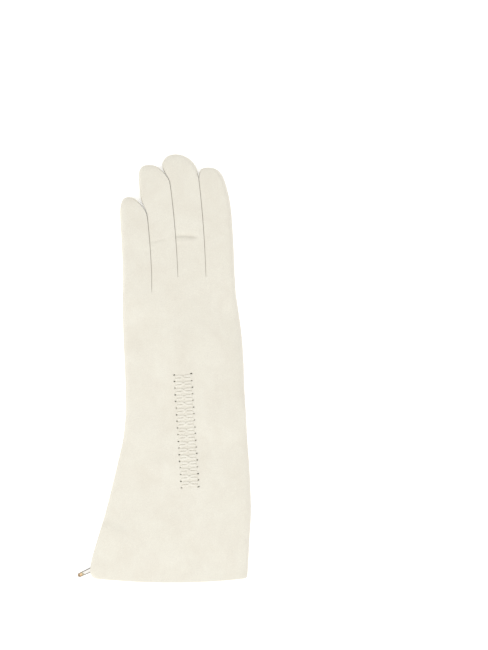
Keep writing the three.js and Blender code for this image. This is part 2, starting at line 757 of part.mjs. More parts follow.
// The pull turns in the bail. It lies outward, with its tip down on the surface.
const pullPivot = new THREE.Group();
pullPivot.position.set(0, SLIDER_AT, PIVOT_Z);
pullPivot.rotation.z = PULL_HEADING - ZIP_GROUP_TURN;
const pull = piece('zip_pull', pullGeometry(), 'steel');
pull.rotation.y = Math.asin((PIVOT_Z - PULL_THICKNESS / 2) / PULL_LENGTH);
pullPivot.add(pull);
zip.add(pullPivot);
glove.add(zip);

export default glove;
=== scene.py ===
# %% [markdown]
# # A long suede glove
# One left-hand glove of cream suede lies back up on a pale surface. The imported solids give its
# sizes and its moving zip pull. This lesson makes the leather, the laced panel and the metal
# again in fine detail, and then sets up a plain studio picture.

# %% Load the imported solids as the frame
import math

import bpy
import numpy as np
from mathutils import Matrix, Vector


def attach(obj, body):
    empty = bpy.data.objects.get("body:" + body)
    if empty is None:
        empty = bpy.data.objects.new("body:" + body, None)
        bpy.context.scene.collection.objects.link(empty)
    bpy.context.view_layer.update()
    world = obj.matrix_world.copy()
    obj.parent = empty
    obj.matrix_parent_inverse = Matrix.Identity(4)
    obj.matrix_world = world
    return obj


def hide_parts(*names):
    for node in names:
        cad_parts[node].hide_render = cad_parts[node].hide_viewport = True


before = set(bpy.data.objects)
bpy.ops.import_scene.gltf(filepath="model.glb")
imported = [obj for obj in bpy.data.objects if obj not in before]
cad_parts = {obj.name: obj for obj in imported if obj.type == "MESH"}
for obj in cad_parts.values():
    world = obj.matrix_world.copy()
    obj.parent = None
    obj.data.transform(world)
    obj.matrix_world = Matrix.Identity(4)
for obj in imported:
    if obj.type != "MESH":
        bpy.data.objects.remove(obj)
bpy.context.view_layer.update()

MM = 0.001
print("nodes:", sorted(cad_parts))

# %% [markdown]
# ## Sizes
# Millimetres, with the same names as in the part's source, so that each fine piece lies where
# its solid lies. X runs to the index side and Y from the hem to the fingertips.

# %% Sizes of the glove
WALL = 1.0
GAP = 0.3
GAUNTLET_LENGTH = 124
WRIST_WIDTH = 90
WRIST_OUTER_X = -33
WRIST_INNER_X = WRIST_OUTER_X + WRIST_WIDTH
OUTER_FLARE = 26
INNER_FLARE = 3.7
GAUNTLET_CROWN_Z = 11.4
CROWN_FULLNESS = 3
EDGE_TOP_Z = 7.6
HEM_TURN = 12
HEM_EXTRA_WALL = 0.6
OUTER_CORNER_RADIUS = 6
INNER_CORNER_RADIUS = 2
HEM_SAG = 2.6
PALM_LENGTH = 104
ROOTS_Y = GAUNTLET_LENGTH + PALM_LENGTH
LITTLE_ROOT_DROP = 11.5
KNUCKLE_OUTER_X = -35.5
KNUCKLE_RISE_LENGTH = 45
FINGER_HEIGHT = 11.4
FINGERTIP_HEIGHT = 10.8
FINGER_FOLD_RADIUS = 3.2
TIP_ROUND_LENGTH = 12
FINGER_LEAN = 9
LEAN_AT_ROOT = 0.35
SLIT_WIDTH = 0.7
SWING_REACH = 14
THUMB_BASE = np.array([34.0, 138.0])
THUMB_LENGTH = 62
THUMB_TURN = math.radians(17)
THUMB_WIDTH = 26
THUMB_TAPER = 0.12
THUMB_HEIGHT = 2.5
THUMB_HOLE_LENGTH = 26
THUMB_HOLE_WIDTH = 15
THUMB_SLOPE = 14
THUMB_SHOWS = 1.6
PANEL_ROWS = 18
PANEL_PITCH = 4.98
PANEL_WIDTH = 12.6
PANEL_TOP = np.array([9.8, 154.5])
PANEL_TURN = math.radians(3.7)
ZIP_LENGTH = 38
ZIP_INSET = 9
ZIP_START = 4.5
ZIP_LIFT = 4.6
ZIP_SLOPE = 6
ZIP_SHOWS = 0.25
ZIP_SLOT_WIDTH = 6.6
TAPE_WIDTH = 10
TAPE_THICKNESS = 0.8
CHAIN_WIDTH = 3.4
CHAIN_THICKNESS = 1.5
TOOTH_PITCH = 2.4
SLIDER_AT = 12
SLIDER_PLATE = 0.9
BAIL_WIRE = 0.7
BAIL_SPAN = 4.2
BAIL_FOOT_Z = 0.2
PULL_LENGTH = 21
PULL_WIDTH = 3.6
PULL_TIP_WIDTH = 2.9
PULL_TAPER_FROM = 0.4
PULL_THICKNESS = 0.9
PULL_TURN = math.radians(25)


def table(columns, rows):
    """Rows of values as rows with named columns."""
    names = columns.split()
    return [dict(zip(names, row)) for row in rows]


# Where the edges run, as shares: the gauntlet's of its flares, the hand's of the way to the knuckles
GAUNTLET_SIDES = table("along outer inner", [
    (0.00, 1.04, 0.25),
    (0.10, 1.00, 0.45),
    (0.25, 0.80, 0.70),
    (0.40, 0.59, 1.00),
    (0.55, 0.41, 0.88),
    (0.70, 0.24, 0.62),
    (0.85, 0.08, 0.25),
    (1.00, 0.00, 0.00),
])
HAND_SIDES = table("along outer inner", [
    (0.0, 0.00, 0.00),
    (0.2, 0.05, 0.16),
    (0.4, 0.32, 0.24),
    (0.6, 0.65, 0.42),
    (0.8, 0.90, 0.76),
    (0.9, 0.97, 0.94),
    (1.0, 1.00, 1.00),
])
MIDDLE_LENGTH = 91
FINGERS = table("name width length", [
    ("little", 22.0, 59),
    ("ring", 19.5, 83),
    ("middle", 21.0, MIDDLE_LENGTH),
    ("index", 21.8, 81),
])
BOUNDS = table("lean swing", [
    (0.75, 0.00),
    (1.10, 0.18),
    (1.00, 0.20),
    (0.85, 0.00),
    (0.75, 0.00),
])
print("fingers:", [finger["name"] for finger in FINGERS])

# %% [markdown]
# ## Finer shape of the fingers
# The solids keep the fingers 0.7 mm apart and give all tips one roundness. Here sewn fingers
# touch, their slits run a little further down, and each tip has its own roundness and shoulders.

# %% Sizes of the sewn slits and the tips
SEWN_SLIT_WIDTH = 0.02
SEWN_FOLD_RADIUS = 0.16
FREE_FOLD_RADIUS = 2.4
FREE_REACH = 12
SLIT_RUN_ON = 2.6
SLIT_FADES_IN = 50
# The least fold radius of the outer and the inner skin
LEAST_FOLDS = (0.05, 0.3)

# Each tip leans in at a shoulder by so many millimetres, along so long a stretch of its side
TIPS = table("fullness left right stretch", [
    (2.9, 1.6, 2.6, 20),
    (2.9, 1.5, 1.0, 22),
    (2.2, -0.8, 2.8, 22),
    (3.2, 0.0, 5.6, 36),
])
print("tips lean in by up to", max(tip["right"] for tip in TIPS), "mm")

# %% [markdown]
# ## The glove's form
# The outline and the heights are functions of a place on the glove. They are the solids' own
# functions, written for arrays, so that the fine leather has the same outline and hollow.

# %% Functions of the glove's form


def smooth(share):
    held = np.clip(share, 0, 1)
    return held * held * (3 - 2 * held)


def read_table(rows, share, column):
    """One column of a table at a share of the way along it, on a smooth curve."""
    along = np.array([row["along"] for row in rows])
    value = np.array([row[column] for row in rows])
    before = np.maximum(np.arange(len(rows)) - 1, 0)
    after = np.minimum(np.arange(len(rows)) + 1, len(rows) - 1)
    slope = (value[after] - value[before]) / (along[after] - along[before])
    held = np.clip(share, 0, 1)
    row = np.clip(np.searchsorted(along, held, side="left") - 1, 0, len(rows) - 2)
    span = along[row + 1] - along[row]
    t = (held - along[row]) / span
    rise = t * t * (3 - 2 * t)
    leave = t * (1 - t) ** 2 * span * slope[row]
    arrive = t * t * (t - 1) * span * slope[row + 1]
    return value[row] + (value[row + 1] - value[row]) * rise + leave + arrive


def corner_inset(distance, radius):
    short = radius - np.clip(distance, 0, radius)
    return radius - np.sqrt(radius * radius - short * short)


ROOT_BOUNDS = KNUCKLE_OUTER_X + np.concatenate([[0], np.cumsum([f["width"] for f in FINGERS])])


def outer_edge(y):
    y = np.asarray(y, float)
    flare = OUTER_FLARE * read_table(GAUNTLET_SIDES, y / GAUNTLET_LENGTH, "outer")
    below = WRIST_OUTER_X - flare + corner_inset(y, OUTER_CORNER_RADIUS)
    share = read_table(HAND_SIDES, (y - GAUNTLET_LENGTH) / PALM_LENGTH, "outer")
    above = WRIST_OUTER_X + (ROOT_BOUNDS[0] - WRIST_OUTER_X) * share
    return np.where(y <= GAUNTLET_LENGTH, below, above)


def inner_edge(y):
    y = np.asarray(y, float)
    flare = INNER_FLARE * read_table(GAUNTLET_SIDES, y / GAUNTLET_LENGTH, "inner")
    below = WRIST_INNER_X + flare - corner_inset(y, INNER_CORNER_RADIUS)
    share = read_table(HAND_SIDES, (y - GAUNTLET_LENGTH) / PALM_LENGTH, "inner")
    above = WRIST_INNER_X + (ROOT_BOUNDS[4] - WRIST_INNER_X) * share
    return np.where(y <= GAUNTLET_LENGTH, below, above)


ZIP_HEAD = np.array([float(outer_edge(ZIP_LENGTH)) + ZIP_INSET, ZIP_LENGTH])
SLIDER_SPOT = np.array([float(outer_edge(SLIDER_AT)) + ZIP_INSET, SLIDER_AT])
ZIP_WAY = (ZIP_HEAD - SLIDER_SPOT) / np.linalg.norm(ZIP_HEAD - SLIDER_SPOT)
ZIP_FOOT = SLIDER_SPOT - ZIP_WAY * SLIDER_AT
ZIP_TURN = math.atan2(ZIP_WAY[1], ZIP_WAY[0])
ZIP_GROUP_TURN = ZIP_TURN - math.pi / 2


def along_zip(x, y):
    return (x - ZIP_FOOT[0]) * ZIP_WAY[0] + (y - ZIP_FOOT[1]) * ZIP_WAY[1]


def across_zip(x, y):
    return (x - ZIP_FOOT[0]) * ZIP_WAY[1] - (y - ZIP_FOOT[1]) * ZIP_WAY[0]


def zip_lift(x, y):
    sideways = smooth(1 - (across_zip(x, y) - TAPE_WIDTH / 2 - WALL) / ZIP_SLOPE)
    lengthways = smooth(1 - (along_zip(x, y) - ZIP_LENGTH - WALL) / ZIP_SLOPE)
    return ZIP_LIFT * sideways * lengthways


THUMB_WAY = np.array([-math.sin(THUMB_TURN), math.cos(THUMB_TURN)])
THUMB_REACH = THUMB_LENGTH - THUMB_WIDTH


def over_thumb(x, y, slope):
    dx = x - THUMB_BASE[0]
    dy = y - THUMB_BASE[1]
    along = np.clip(dx * THUMB_WAY[0] + dy * THUMB_WAY[1], 0, THUMB_REACH)
    distance = np.hypot(dx - along * THUMB_WAY[0], dy - along * THUMB_WAY[1])
    return smooth(1 - (distance - THUMB_WIDTH / 2 - 3 * WALL) / slope)


def underside_z(x, y):
    return np.maximum((THUMB_HEIGHT + GAP) * over_thumb(x, y, THUMB_SLOPE), zip_lift(x, y))


def top_z(x, y, share):
    across = np.abs(2 * share - 1)
    rise = smooth((y - ROOTS_Y + KNUCKLE_RISE_LENGTH) / (KNUCKLE_RISE_LENGTH - LITTLE_ROOT_DROP))
    edge = EDGE_TOP_Z + (FINGER_HEIGHT - EDGE_TOP_Z) * rise
    crown = (GAUNTLET_CROWN_Z - edge) * (1 - across**CROWN_FULLNESS)
    thumb = THUMB_SHOWS * over_thumb(x, y, 2 * THUMB_SLOPE)
    return edge + crown + thumb + ZIP_SHOWS * zip_lift(x, y)


def roots_line(x):
    share = smooth((x - ROOT_BOUNDS[1]) / (ROOT_BOUNDS[2] - ROOT_BOUNDS[1]))
    return ROOTS_Y - SLIT_RUN_ON - LITTLE_ROOT_DROP * (1 - share)


def shorter_beside(bound):
    """Length of the shorter of the two fingers beside a line between them."""
    return min(FINGERS[max(0, bound - 1)]["length"], FINGERS[min(3, bound)]["length"])


def bound_x(index, height):
    """X of a line between two fingers, at a height above the roots."""
    share = height / MIDDLE_LENGTH
    bend = LEAN_AT_ROOT * share + (1 - LEAN_AT_ROOT) * share * share
    lean = FINGER_LEAN * BOUNDS[index]["lean"] * bend
    reach = smooth((height - shorter_beside(index) + SWING_REACH) / SWING_REACH)
    swing = BOUNDS[index]["swing"] * FINGERS[min(3, index)]["width"] * reach
    return ROOT_BOUNDS[index] - np.maximum(0, lean) - swing


def finger_top(share):
    return FINGER_HEIGHT + (FINGERTIP_HEIGHT - FINGER_HEIGHT) * smooth(share)


print("hem is", round(float(inner_edge(4) - outer_edge(4)), 1), "mm wide")

# %% [markdown]
# ## Folds, dents and creases of the worn leather
# Suede that has been worn and put away is never quite flat. The broad dents are low, a few
# tenths of a millimetre. Sharper creases cross the fingers where they bent, the deepest on the
# middle finger. A crease is a narrow valley, steeper on the side of the hem. One with a negative
# depth is a ridge beside it.

# %% Dents and creases
DENTS = table("x y wide long turn rise", [
    (12, 196, 26, 11, 4, -0.45),
    (14, 176, 30, 9, -6, 0.30),
    (40, 180, 11, 16, 12, 0.40),
    (44, 200, 14, 6, -18, -0.45),
    (-18, 206, 12, 14, 10, 0.35),
    (-20, 184, 13, 12, -8, -0.40),
    (-16, 128, 14, 13, 15, -0.55),
    (-22, 108, 16, 8, -22, 0.45),
    (42, 130, 12, 11, 6, -0.35),
    (40, 100, 14, 14, -10, -0.40),
    (-26, 72, 13, 17, -28, -0.55),
    (-14, 88, 18, 6, -16, 0.40),
    (6, 60, 24, 14, 12, -0.45),
    (34, 44, 20, 12, 8, 0.40),
    (-32, 32, 16, 11, -12, 0.50),
    (34, 12, 12, 9, -34, -0.70),
    (-8, 16, 22, 10, 6, 0.40),
    (-26, 246, 9, 7, 20, -0.40),
    (-28, 262, 8, 8, 0, 0.35),
    (-4, 232, 8, 8, 0, 0.30),
    (15, 244, 10, 7, 10, -0.35),
    (38, 250, 9, 10, 0, 0.25),
    (30, 292, 9, 6, -20, 0.35),
])
CREASES = table("x y to_x to_y bow depth wide", [
    (4.5, 257.6, 21.0, 256.6, 0.7, 1.45, 2.4),
    (5.0, 253.4, 19.0, 254.4, -0.3, -0.35, 1.9),
    (-14.0, 252.6, -2.5, 255.4, 0.5, 0.62, 1.9),
    (-18.5, 245.0, -11.5, 248.0, 0.4, 0.52, 1.9),
    (27.0, 257.6, 33.0, 257.0, 0.2, 0.22, 1.5),
    (30.0, 300.5, 38.0, 303.5, 0.6, 0.22, 1.5),
])

HEM_SIDE_STEEPNESS = 0.45
CREASE_FADES_IN = 0.25
CREASE_FADES_OUT = 0.3


def dents(x, y):
    total = np.zeros_like(x)
    for dent in DENTS:
        turn = math.radians(dent["turn"])
        u = (x - dent["x"]) * math.cos(turn) + (y - dent["y"]) * math.sin(turn)
        v = (y - dent["y"]) * math.cos(turn) - (x - dent["x"]) * math.sin(turn)
        total += dent["rise"] * np.exp(-((u / dent["wide"]) ** 2) - (v / dent["long"]) ** 2)
    return total


def crease_depth(x, y):
    total = np.zeros_like(x)
    for crease in CREASES:
        dx = crease["to_x"] - crease["x"]
        dy = crease["to_y"] - crease["y"]
        length = math.hypot(dx, dy)
        u = ((x - crease["x"]) * dx + (y - crease["y"]) * dy) / length
        v = ((y - crease["y"]) * dx - (x - crease["x"]) * dy) / length
        share = u / length
        v = v - crease["bow"] * (1 - (2 * share - 1) ** 2)
        fade_in = smooth(share / CREASE_FADES_IN + 0.4)
        fade_out = smooth((1 - share) / CREASE_FADES_OUT + 0.2)
        hem_side = np.exp(-((v / (HEM_SIDE_STEEPNESS * crease["wide"])) ** 2))
        tip_side = 1 / (1 + (v / crease["wide"]) ** 2) ** 1.5
        total += crease["depth"] * fade_in * fade_out * np.where(v < 0, hem_side, tip_side)
    return total


def relief(x, y):
    return dents(x, y) - crease_depth(x, y)


print("dents:", len(DENTS), "creases:", len(CREASES))

# %% [markdown]
# ## Helpers for making pieces
# A piece is made from arrays of points in millimetres and lists of faces. Rings of points round
# a tube are joined row by row.

# %% Helpers for meshes
SHARP_ANGLE = math.radians(50)


def in_scene(name, data):
    """A new object that holds the data, linked to the scene."""
    made = bpy.data.objects.new(name, data)
    bpy.context.scene.collection.objects.link(made)
    return made


def new_piece(name, points, faces):
    mesh = bpy.data.meshes.new(name)
    mesh.from_pydata((np.asarray(points, float) * MM).tolist(), [], [list(f) for f in faces])
    mesh.validate()
    mesh.shade_smooth()
    mesh.set_sharp_from_angle(angle=SHARP_ANGLE)
    return in_scene(name, mesh)


def strip_faces(ids, closed=True):
    """Quads between the rows of a grid of point numbers. The rows are rings if closed."""
    following = np.roll(ids, -1, axis=1) if closed else ids[:, 1:]
    here = ids if closed else ids[:, :-1]
    low, high = here[:-1], here[1:]
    low_next, high_next = following[:-1], following[1:]
    return np.stack([low, low_next, high_next, high], axis=-1).reshape(-1, 4)


def closed_tube(ids):
    """The faces round a grid of rings, and a cap at each end."""
    return strip_faces(ids).tolist() + [ids[0][::-1].tolist(), ids[-1].tolist()]


def applied(piece):
    """Replaces a piece's mesh with the one that its modifiers make."""
    depsgraph = bpy.context.evaluated_depsgraph_get()
    made = bpy.data.meshes.new_from_object(piece.evaluated_get(depsgraph))
    piece.modifiers.clear()
    piece.data = made
    return piece


def cut(piece, cutter):
    boolean = piece.modifiers.new("cut", "BOOLEAN")
    boolean.operation = "DIFFERENCE"
    boolean.solver = "EXACT"
    boolean.object = cutter
    applied(piece)
    bpy.data.objects.remove(cutter)
    piece.data.set_sharp_from_angle(angle=SHARP_ANGLE)
    return piece


def joined(name, pieces):
    """One piece from several, each an array of points and a list of faces."""
    points = []
    faces = []
    start = 0
    for some_points, some_faces in pieces:
        points.append(np.asarray(some_points, float))
        faces += [[corner + start for corner in face] for face in some_faces]
        start += len(some_points)
    return new_piece(name, np.vstack(points), faces)


def squarer(wave, power):
    """A sine or cosine with fuller shoulders, which makes an oval ring squarer."""
    return np.sign(wave) * np.abs(wave) ** power


def triangles(piece):
    piece.data.calc_loop_triangles()
    return len(piece.data.loop_triangles)


# %% [markdown]
# ## The leather of the trank and the fourchettes
# The trank is one piece of suede, folded at the index side and sewn at the little finger's
# side. It makes the cuff, the palm, and the front and back of every finger. The fourchettes are
# the sidewall strips between the fingers. All of them come from one grid of rings: rings round
# the cuff and hand up to the roots, and then rings round each finger. The rings have two skins,
# a wall apart, and the leather between a finger's two faces goes to its fourchette.

# %% Rings round the cuff, hand and fingers
FOLD_ANGLES = np.radians([0, 13, 26, 40, 55, 72, 90])
FOLD_STEPS = len(FOLD_ANGLES) - 1
BAND_STEPS = 2
FLAT_STEPS = 13
BODY_FOLD_RADIUS = EDGE_TOP_Z / 2
HEM_LIP = 0.8
LEAST_BODY_FOLD = 0.4
HEM_ROWS = [0, 0.12, 0.3, 0.55, 0.85, 1.5, 3, 5, 7, 9, 10.8]
PAST_HEM_Y = 14
BODY_ROW_COUNT = 108
ROOT_ROWS = [0, 0.6, 1.3, 2.1, 3.0, 4.0, 5.2, 6.5, 8.0]
TIP_ROWS = 9
LAST_TIP_ROW = 0.25
SLIT_OPENS_IN = 3
FOLD_OPENS_IN = 5
BODY_TOP = 2 * FOLD_STEPS + 4 * FLAT_STEPS + 1
FINGER_TOP = 2 * FOLD_STEPS + FLAT_STEPS + 1


def across_tube(left, right, left_fold, right_fold, knots):
    """X of the points over a tube from its left fold to its right, and how far each is lifted."""
    out = 1 - np.cos(FOLD_ANGLES[:-1])
    lift = np.sin(FOLD_ANGLES[:-1])
    steps = [np.linspace(a, b, FLAT_STEPS + 1)[:-1] for a, b in zip(knots[:-1], knots[1:])]
    flat = np.concatenate(steps + [[knots[-1]]])
    xs = np.concatenate([left + left_fold * out, flat, (right - right_fold * out)[::-1]])
    lifts = np.concatenate([lift, np.ones(len(flat)), lift[::-1]])
    return xs, lifts


def ring_of(top, bottom):
    return np.vstack([top, bottom[1:-1][::-1]])


def body_row(y_row, skin):
    """One ring round the cuff or hand. Skin 0 is the outer one, and skin 1 the inner."""
    lip = HEM_LIP * (1 - math.sqrt(1 - (1 - min(1, y_row / HEM_LIP + 0.03)) ** 2))
    wall = WALL + HEM_EXTRA_WALL * (y_row <= HEM_TURN)
    inset = lip if skin == 0 else wall - lip
    left = float(outer_edge(y_row)) + inset
    right = float(inner_edge(y_row)) - inset
    fold = BODY_FOLD_RADIUS + (FINGER_FOLD_RADIUS - BODY_FOLD_RADIUS) * float(
        smooth((y_row - ROOTS_Y + KNUCKLE_RISE_LENGTH) / KNUCKLE_RISE_LENGTH)
    )
    fold = max(LEAST_BODY_FOLD, fold - inset)
    share_of_bounds = (ROOT_BOUNDS - ROOT_BOUNDS[0]) / (ROOT_BOUNDS[4] - ROOT_BOUNDS[0])
    knots = left + (right - left) * share_of_bounds
    knots[0] = left + fold
    knots[4] = right - fold
    xs, lifts = across_tube(left, right, fold, fold, knots)
    share = (xs - left) / (right - left)
    if y_row <= GAUNTLET_LENGTH:
        ys = np.full_like(xs, y_row)
    else:
        past = (y_row - GAUNTLET_LENGTH) / PALM_LENGTH
        ys = GAUNTLET_LENGTH + past * (roots_line(xs) - GAUNTLET_LENGTH)
    along = min(1, y_row / GAUNTLET_LENGTH)
    ys = ys - HEM_SAG * (0.5 - (2 * share - 1) ** 2) * (1 - along)
    low = underside_z(xs, ys) + inset
    high = top_z(xs, ys, share) - inset
    low_side = np.where(share < 0.5, low[0], low[-1])
    high_side = np.where(share < 0.5, high[0], high[-1])
    middle = (low_side + high_side) / 2
    over = middle + (high + relief(xs, ys) * lifts - middle) * lifts
    under = middle - (middle - low) * lifts
    return ring_of(np.column_stack([xs, ys, over]), np.column_stack([xs, ys, under]))


def finger_row(index, share_up, round_up, skin):
    """One ring round a finger: share_up goes from the roots to where the tip rounds off."""
    finger = FINGERS[index]
    tip = TIPS[index]
    inset = WALL * skin
    straight = ROOTS_Y + finger["length"] - TIP_ROUND_LENGTH - inset
    root_shares = np.linspace(0, 1, 9)
    root_xs = ROOT_BOUNDS[index] + (ROOT_BOUNDS[index + 1] - ROOT_BOUNDS[index]) * root_shares
    root_ys = roots_line(root_xs) - inset * (np.abs(root_shares * 2 - 1) > 0.99)
    row_ys = root_ys + (straight - root_ys) * share_up + TIP_ROUND_LENGTH * round_up
    rise = float((row_ys - root_ys).mean())
    left_side = row_ys[0] - ROOTS_Y
    right_side = row_ys[-1] - ROOTS_Y
    opened = float(smooth(rise / SLIT_OPENS_IN))
    folds = []
    insets = []
    for bound, height in ((index, left_side), (index + 1, right_side)):
        outside = bound in (0, 4)
        reach = 1.0 if outside else float(smooth(rise / FOLD_OPENS_IN))
        free = float(smooth((height - shorter_beside(bound) + 0.8 * FREE_REACH) / FREE_REACH))
        sewn = SEWN_FOLD_RADIUS * (0.6 + 0.4 * float(smooth(rise / SLIT_FADES_IN)))
        sewn_radius = sewn + (FREE_FOLD_RADIUS - sewn) * free
        radius = FINGER_FOLD_RADIUS if outside else sewn_radius
        folds.append(max(radius - inset, LEAST_FOLDS[skin]) * reach)
        insets.append(inset if outside else inset * opened)
    left_slit = (SLIT_WIDTH if index == 0 else SEWN_SLIT_WIDTH) / 2
    right_slit = (SLIT_WIDTH if index == 3 else SEWN_SLIT_WIDTH) / 2
    left = float(bound_x(index, left_side)) + left_slit * opened + insets[0]
    right = float(bound_x(index + 1, right_side)) - right_slit * opened - insets[1]
    left += tip["left"] * max(0, 1 - (finger["length"] - left_side) / tip["stretch"]) ** 2
    right -= tip["right"] * max(0, 1 - (finger["length"] - right_side) / tip["stretch"]) ** 2
    bulge = (1 - min(1, round_up) ** tip["fullness"]) ** (1 / tip["fullness"])
    middle_x = (left + right) / 2
    left = middle_x + (left - middle_x) * bulge
    right = middle_x + (right - middle_x) * bulge
    half = (right - left) / 2
    left_fold = min(folds[0], half)
    right_fold = min(folds[1], half)
    knots = [left + left_fold, max(right - right_fold, left + left_fold)]
    xs, lifts = across_tube(left, right, left_fold, right_fold, knots)
    shares = (xs - left) / max(right - left, 1e-6)
    ys = np.interp(shares, root_shares, row_ys)
    high = finger_top((ys - ROOTS_Y) / finger["length"])
    middle = high / 2
    half_z = (middle - inset) * math.sqrt(bulge)
    leather = relief(xs, ys) * lifts * lifts * bulge
    over = middle + half_z * lifts + leather
    under = middle - half_z * lifts
    return ring_of(np.column_stack([xs, ys, over]), np.column_stack([xs, ys, under]))


def body_rows():
    rows = HEM_ROWS + [HEM_TURN, HEM_TURN + GAP]
    return rows + list(np.linspace(PAST_HEM_Y, ROOTS_Y, BODY_ROW_COUNT))


def finger_rows(index):
    """Pairs of the share of the way to the tip's rounding, and of the way round it.
    The rows lie close together where the creases are, 26 to 34 mm above the roots."""
    finger = FINGERS[index]
    reach = finger["length"] - TIP_ROUND_LENGTH
    heights = ROOT_ROWS + list(np.arange(9.6, 26, 1.5)) + list(np.arange(26.0, 34.0, 0.55))
    heights += list(np.arange(34.5, reach - 0.8, 1.4)) + [reach]
    rows = [(height / reach, 0.0) for height in heights]
    for step in range(1, TIP_ROWS + 1):
        rows.append((1.0, math.sin(math.pi / 2 * step / (TIP_ROWS + LAST_TIP_ROW))))
    return rows


# %% [markdown]
# ## Faces of the leather
# The points of all rings are numbered, and neighbouring rings are joined into faces. Where two
# fingers part, both use one short row of points in the crotch. Then each piece gets an inner
# skin, and the two skins are closed along their free edges.

# %% Number the points of the rings and join them into faces


def leather_grid():
    """The points of both skins, and every face with the name of the piece that it belongs to."""
    rows = body_rows()
    ring = 2 * BODY_TOP - 2
    finger_ring = 2 * FINGER_TOP - 2
    body_ids = np.arange(len(rows) * ring).reshape(len(rows), ring)
    skins = [np.vstack([body_row(y, skin) for y in rows]) for skin in (0, 1)]
    count = len(skins[0])
    named = [("trank", strip_faces(body_ids))]
    crotch_ids = {}
    fold = np.arange(-FOLD_STEPS + 1, FOLD_STEPS)
    sides = [fold, FINGER_TOP - 1 + fold]
    body_sides = [fold, BODY_TOP - 1 + fold]
    for index in range(len(FINGERS)):
        steps = finger_rows(index)
        first = np.full(finger_ring, -1)
        start = FOLD_STEPS + FLAT_STEPS * index
        flat = np.arange(FLAT_STEPS + 1)
        first[FOLD_STEPS + flat] = body_ids[-1][start + flat]
        first[(finger_ring - FOLD_STEPS - flat) % finger_ring] = body_ids[-1][ring - start - flat]
        rings = [[finger_row(index, up, past, skin) for up, past in steps] for skin in (0, 1)]
        for side, bound in ((0, index), (1, index + 1)):
            spots = sides[side] % finger_ring
            if bound in (0, 4):
                first[spots] = body_ids[-1][body_sides[side] % ring]
            elif bound not in crotch_ids:
                crotch_ids[bound] = count + np.arange(len(spots))
                first[spots] = crotch_ids[bound]
                count += len(spots)
                skins = [np.vstack([skins[s], rings[s][0][spots]]) for s in (0, 1)]
            else:
                first[spots] = crotch_ids[bound][::-1]
        later = count + np.arange((len(steps) - 1) * finger_ring).reshape(-1, finger_ring)
        count += later.size + 1
        tip = count - 1
        for s in (0, 1):
            last = rings[s][-1]
            skins[s] = np.vstack([skins[s]] + rings[s][1:] + [last.mean(axis=0)[None]])
        ids = np.vstack([first, later])
        faces = strip_faces(ids).reshape(len(steps) - 1, finger_ring, 4)
        is_band = np.zeros(faces.shape[:2], bool)
        straight_rows = sum(1 for up, past in steps if past == 0) - 1
        around = np.arange(finger_ring)
        for side, bound in ((0, index), (1, index + 1)):
            if bound in (0, 4):
                continue
            centre = 0 if side == 0 else FINGER_TOP - 1
            near = np.isin(around, (centre + np.arange(-BAND_STEPS, BAND_STEPS)) % finger_ring)
            band = np.zeros_like(is_band)
            band[:straight_rows, near] = True
            name = f"fourchette_{FINGERS[bound - 1]['name']}_{FINGERS[bound]['name']}"
            named.append((name, faces[band]))
            is_band |= band
        named.append(("trank", faces[~is_band]))
        cap = np.stack([later[-1], np.roll(later[-1], -1), np.full(finger_ring, tip)], axis=-1)
        named.append(("trank", cap))
    return skins, named


def two_skins(skins, faces):
    """Closes the outer and the inner skin of some faces along their free edges."""
    used = np.unique(np.concatenate([np.asarray(f).ravel() for f in faces]))
    renumber = np.full(used.max() + 1, -1)
    renumber[used] = np.arange(len(used))
    outer = [[int(renumber[c]) for c in face] for some in faces for face in some]
    shift = len(used)
    seen = {}
    for face in outer:
        for a, b in zip(face, face[1:] + face[:1]):
            seen[(a, b)] = True
    inner = [[corner + shift for corner in face[::-1]] for face in outer]
    rim = [[b, a, a + shift, b + shift] for (a, b) in seen if (b, a) not in seen]
    points = np.vstack([skins[0][used], skins[1][used]])
    return points, outer + inner + rim


skins, named_faces = leather_grid()
leather = {}
for piece_name in dict.fromkeys(name for name, faces in named_faces):
    chosen = [faces for name, faces in named_faces if name == piece_name and len(faces)]
    leather[piece_name] = new_piece(piece_name + "_suede", *two_skins(skins, chosen))
for piece_name, piece in leather.items():
    print(piece.name, triangles(piece), "triangles")

# %% [markdown]
# ## Openings in the trank
# The awl holes of the laced panel go through the back only. Beneath, the leather has an oval
# hole for the thumb and a slot for the zip, and the turned hem leaves room for the zip's tape.

# %% Cut the openings
TAPE_BOTTOM = ZIP_LIFT + WALL + GAP
CHAIN_TOP = TAPE_BOTTOM - GAP
CHAIN_BOTTOM = CHAIN_TOP - CHAIN_THICKNESS
PLATE_TOP = CHAIN_BOTTOM - GAP
PLATE_BOTTOM = PLATE_TOP - SLIDER_PLATE
PIVOT_Z = (BAIL_FOOT_Z + BAIL_WIRE + PLATE_BOTTOM) / 2
HOLE_ACROSS = 1.8
HOLE_ALONG = 0.95
HOLE_JITTER = 0.12
HOLE_SMALLEST = 0.8
HOLE_LARGEST = 1.1
HOLE_SIDES = 12
THUMB_HOLE_SIDES = 40
BEYOND_HEM = -9
chance = np.random.default_rng(11)


def turned(points, angle, spot, z=0):
    """Points turned about +Z and moved to a spot."""
    points = np.asarray(points, float)
    x = points[:, 0] * math.cos(angle) - points[:, 1] * math.sin(angle) + spot[0]
    y = points[:, 0] * math.sin(angle) + points[:, 1] * math.cos(angle) + spot[1]
    return np.column_stack([x, y, points[:, 2] + z])


def prism(outline, low, high):
    """A solid from an outline that runs anticlockwise."""
    count = len(outline)
    points = [[x, y, low] for x, y in outline] + [[x, y, high] for x, y in outline]
    around = range(count)
    faces = [[k, (k + 1) % count, (k + 1) % count + count, k + count] for k in around]
    faces += [list(around)[::-1], [k + count for k in around]]
    return np.array(points, float), faces


def placed(solid, angle, spot, z=0):
    points, faces = solid
    return turned(points, angle, spot, z), faces


